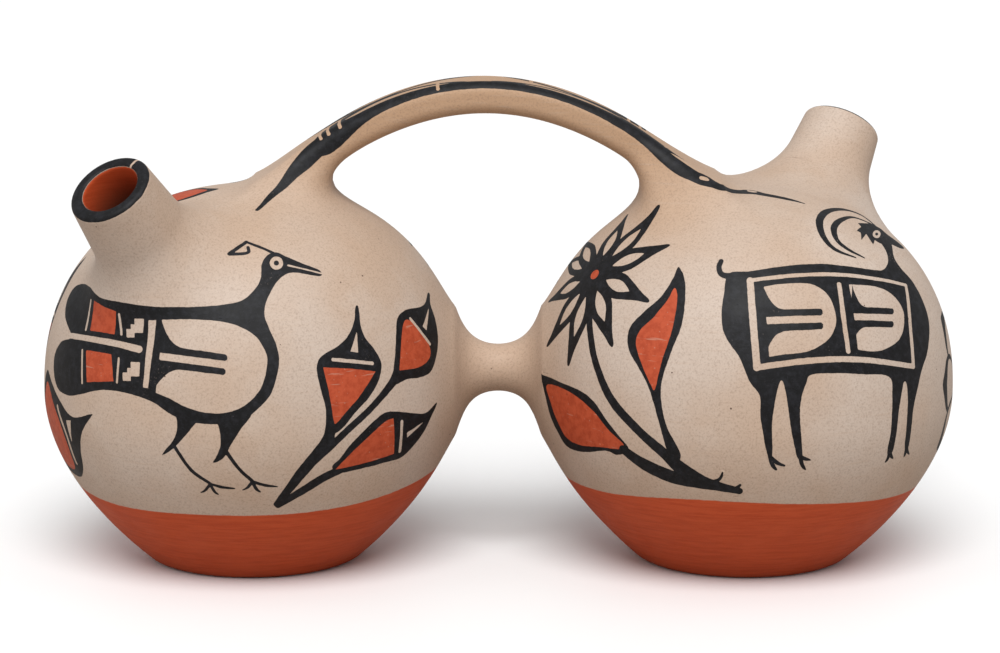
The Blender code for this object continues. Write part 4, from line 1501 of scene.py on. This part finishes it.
class CANTEEN_OT_bases(Operator):
    """Build the two red bases"""

    bl_idname = "canteen.bases"
    bl_label = "Bases"

    def execute(self, context):
        """Carve and paint the pieces."""
        form = canteen_form()
        sizes = form.sizes
        for side, word in SIDES:
            middle = side * form.half_spacing
            reach = sizes.jar_radius + MARGIN
            low = (middle - reach, -reach, -MARGIN)
            high = (middle + reach, reach, sizes.base_height + MARGIN)
            cuts = [((0.0, 0.0, sizes.base_height), -UP)]
            piece = carve(word + "_base_clay", form, low, high, JAR_STEP, cuts)
            finish_piece(piece, word + "_base")
        return {"FINISHED"}


class CANTEEN_OT_walls(Operator):
    """Build the two jar walls"""

    bl_idname = "canteen.walls"
    bl_label = "Walls"

    def execute(self, context):
        """Carve and paint the pieces."""
        form = canteen_form()
        sizes = form.sizes
        for side, word in SIDES:
            middle = side * form.half_spacing
            reach = sizes.jar_radius + MARGIN
            inner = side * TUBE_CUT
            ends = (inner - side * MARGIN, middle + side * reach)
            low = (min(ends), -reach, sizes.base_height - MARGIN)
            high = (max(ends), reach, sizes.shoulder_joint + MARGIN)
            cuts = [((0.0, 0.0, sizes.base_height), UP), ((0.0, 0.0, sizes.shoulder_joint), -UP),
                    ((inner, 0.0, 0.0), np.array([side, 0.0, 0.0]))]
            piece = carve(word + "_wall_clay", form, low, high, JAR_STEP, cuts, finer="none")
            finish_piece(piece, word + "_wall", WIDE_ROUNDS)
        return {"FINISHED"}


class CANTEEN_OT_shoulders(Operator):
    """Build the two domed shoulders"""

    bl_idname = "canteen.shoulders"
    bl_label = "Shoulders"

    def execute(self, context):
        """Carve and paint the pieces."""
        form = canteen_form()
        sizes = form.sizes
        for (side, word), spout in zip(SIDES, form.spouts):
            middle = side * form.half_spacing
            reach = sizes.jar_radius + 2 * MARGIN
            low = (middle - reach, -reach, sizes.shoulder_joint - MARGIN)
            high = (middle + reach, reach, sizes.handle_joint + MARGIN)
            cuts = [((0.0, 0.0, sizes.shoulder_joint), UP), ((0.0, 0.0, sizes.handle_joint), -UP),
                    (spout_joint(spout), -spout[1])]
            piece = carve(word + "_shoulder_clay", form, low, high, JAR_STEP, cuts, finer="none")
            finish_piece(piece, word + "_shoulder", WIDE_ROUNDS)
        return {"FINISHED"}


class CANTEEN_OT_spouts(Operator):
    """Build the two spouts"""

    bl_idname = "canteen.spouts"
    bl_label = "Spouts"

    def execute(self, context):
        """Carve and paint the pieces."""
        form = canteen_form()
        for (_, word), spout in zip(SIDES, form.spouts):
            centre, direction, rim = spout
            joint = spout_joint(spout)
            ends = np.stack([joint, centre + direction * rim])
            low = ends.min(axis=0) - SPOUT_PIECE
            high = ends.max(axis=0) + SPOUT_PIECE
            piece = carve(word + "_spout_clay", form, low, high, SPOUT_STEP, [(joint, direction)],
                          finer="both")
            finish_piece(piece, word + "_spout")
        return {"FINISHED"}


class CANTEEN_OT_tube(Operator):
    """Build the connecting tube"""

    bl_idname = "canteen.tube"
    bl_label = "Tube"

    def execute(self, context):
        """Carve and paint the piece."""
        form = canteen_form()
        middle = form.sizes.equator_height + form.sizes.tube_rise
        reach = TUBE_CUT + MARGIN
        low = (-reach, -TUBE_SPREAD, middle - TUBE_SPREAD)
        high = (reach, TUBE_SPREAD, middle + TUBE_SPREAD)
        cuts = [((-TUBE_CUT, 0.0, 0.0), (1.0, 0.0, 0.0)), ((TUBE_CUT, 0.0, 0.0), (-1.0, 0.0, 0.0))]
        piece = carve("connecting_tube_clay", form, low, high, STRAP_STEP, cuts)
        finish_piece(piece, "connecting_tube")
        return {"FINISHED"}


class CANTEEN_OT_handle(Operator):
    """Build the strap handle"""

    bl_idname = "canteen.handle"
    bl_label = "Handle"

    def execute(self, context):
        """Carve and paint the piece."""
        form = canteen_form()
        sizes = form.sizes
        low = (-STRAP_REACH, -STRAP_SPREAD, sizes.handle_joint - MARGIN)
        high = (STRAP_REACH, STRAP_SPREAD, form.top + sizes.handle_rise + MARGIN)
        cuts = [((0.0, 0.0, sizes.handle_joint), UP)]
        for spout in form.spouts:
            cuts.append((spout_joint(spout), -spout[1]))
        piece = carve("handle_clay", form, low, high, STRAP_STEP, cuts)
        finish_piece(piece, "handle")
        return {"FINISHED"}


def soft_sun(name, elevation, azimuth, strength):
    """Broad even light from the front; the azimuth swings it to the right."""
    light = bpy.data.lights.new(name, "SUN")
    light.angle = SUN_SPREAD
    light.energy = strength
    thing = bpy.data.objects.new(name, light)
    thing.rotation_euler = (math.radians(90.0 - elevation), 0.0, math.radians(azimuth))
    bpy.context.scene.collection.objects.link(thing)


def floor_material():
    """White to the camera, pale grey to the light that it throws back."""
    graph = Graph("floor")
    to_camera = graph.add("ShaderNodeLightPath", {}, output="Is Camera Ray")
    graph.put(graph.shader.inputs["Base Color"], graph.mix(to_camera, FLOOR_BOUNCE, WHITE))
    graph.put(graph.shader.inputs["Roughness"], FLOOR_ROUGHNESS)
    return graph.material


class CANTEEN_OT_stage(Operator):
    """Set the floor, lights and camera"""

    bl_idname = "canteen.stage"
    bl_label = "Stage"

    def execute(self, context):
        """Make the floor, the even light around it, two soft suns and the camera."""
        scene = context.scene
        scene.view_settings.view_transform = "Standard"
        mesh = bpy.data.meshes.new("floor")
        corners = [(-FLOOR_REACH, -FLOOR_REACH, 0.0), (FLOOR_REACH, -FLOOR_REACH, 0.0),
                   (FLOOR_REACH, FLOOR_REACH, 0.0), (-FLOOR_REACH, FLOOR_REACH, 0.0)]
        mesh.from_pydata(corners, [], [(0, 1, 2, 3)])
        floor = bpy.data.objects.new("floor", mesh)
        scene.collection.objects.link(floor)
        floor.data.materials.append(floor_material())
        world = bpy.data.worlds.new("studio")
        world.use_nodes = True
        world.node_tree.nodes["Background"].inputs["Color"].default_value = WHITE
        world.node_tree.nodes["Background"].inputs["Strength"].default_value = WORLD_STRENGTH
        scene.world = world
        soft_sun("key", KEY_ELEVATION, KEY_AZIMUTH, KEY_STRENGTH)
        soft_sun("fill", FILL_ELEVATION, FILL_AZIMUTH, FILL_STRENGTH)
        camera = bpy.data.objects.new("camera", bpy.data.cameras.new("camera"))
        camera.data.lens = CAMERA_LENS
        tilt = math.radians(CAMERA_ELEVATION)
        camera.location = camera_place()
        camera.rotation_euler = (math.pi / 2 - tilt, 0.0, 0.0)
        scene.collection.objects.link(camera)
        scene.camera = camera
        return {"FINISHED"}


class CANTEEN_PT_sidebar(Panel):
    """Sizes, colours and build buttons of the canteen"""

    bl_idname = "CANTEEN_PT_sidebar"
    bl_label = "Double canteen"
    bl_space_type = "VIEW_3D"
    bl_region_type = "UI"
    bl_category = "Canteen"

    def draw(self, context):
        """Buttons first, then the sizes and the colours."""
        for item in CLASSES:
            if issubclass(item, Operator):
                self.layout.operator(item.bl_idname)
        for group in (context.scene.canteen_sizes, context.scene.canteen_colours):
            box = self.layout.box()
            for name in type(group).__annotations__:
                box.prop(group, name)


CLASSES = (CanteenSizes, CanteenColours, CANTEEN_OT_bases, CANTEEN_OT_walls, CANTEEN_OT_shoulders,
           CANTEEN_OT_spouts, CANTEEN_OT_tube, CANTEEN_OT_handle, CANTEEN_OT_stage, CANTEEN_PT_sidebar)


def register():
    """Add the classes and the groups of sizes and colours to Blender."""
    for item in CLASSES:
        bpy.utils.register_class(item)
    bpy.types.Scene.canteen_sizes = PointerProperty(type=CanteenSizes)
    bpy.types.Scene.canteen_colours = PointerProperty(type=CanteenColours)


def unregister():
    """Take them out again."""
    del bpy.types.Scene.canteen_sizes
    del bpy.types.Scene.canteen_colours
    for item in reversed(CLASSES):
        bpy.utils.unregister_class(item)


def main():
    """Build the pieces and the stage."""
    register()
    bpy.ops.canteen.bases()
    bpy.ops.canteen.walls()
    bpy.ops.canteen.shoulders()
    bpy.ops.canteen.spouts()
    bpy.ops.canteen.tube()
    bpy.ops.canteen.handle()
    bpy.ops.canteen.stage()


if __name__ == "__main__":
    main()
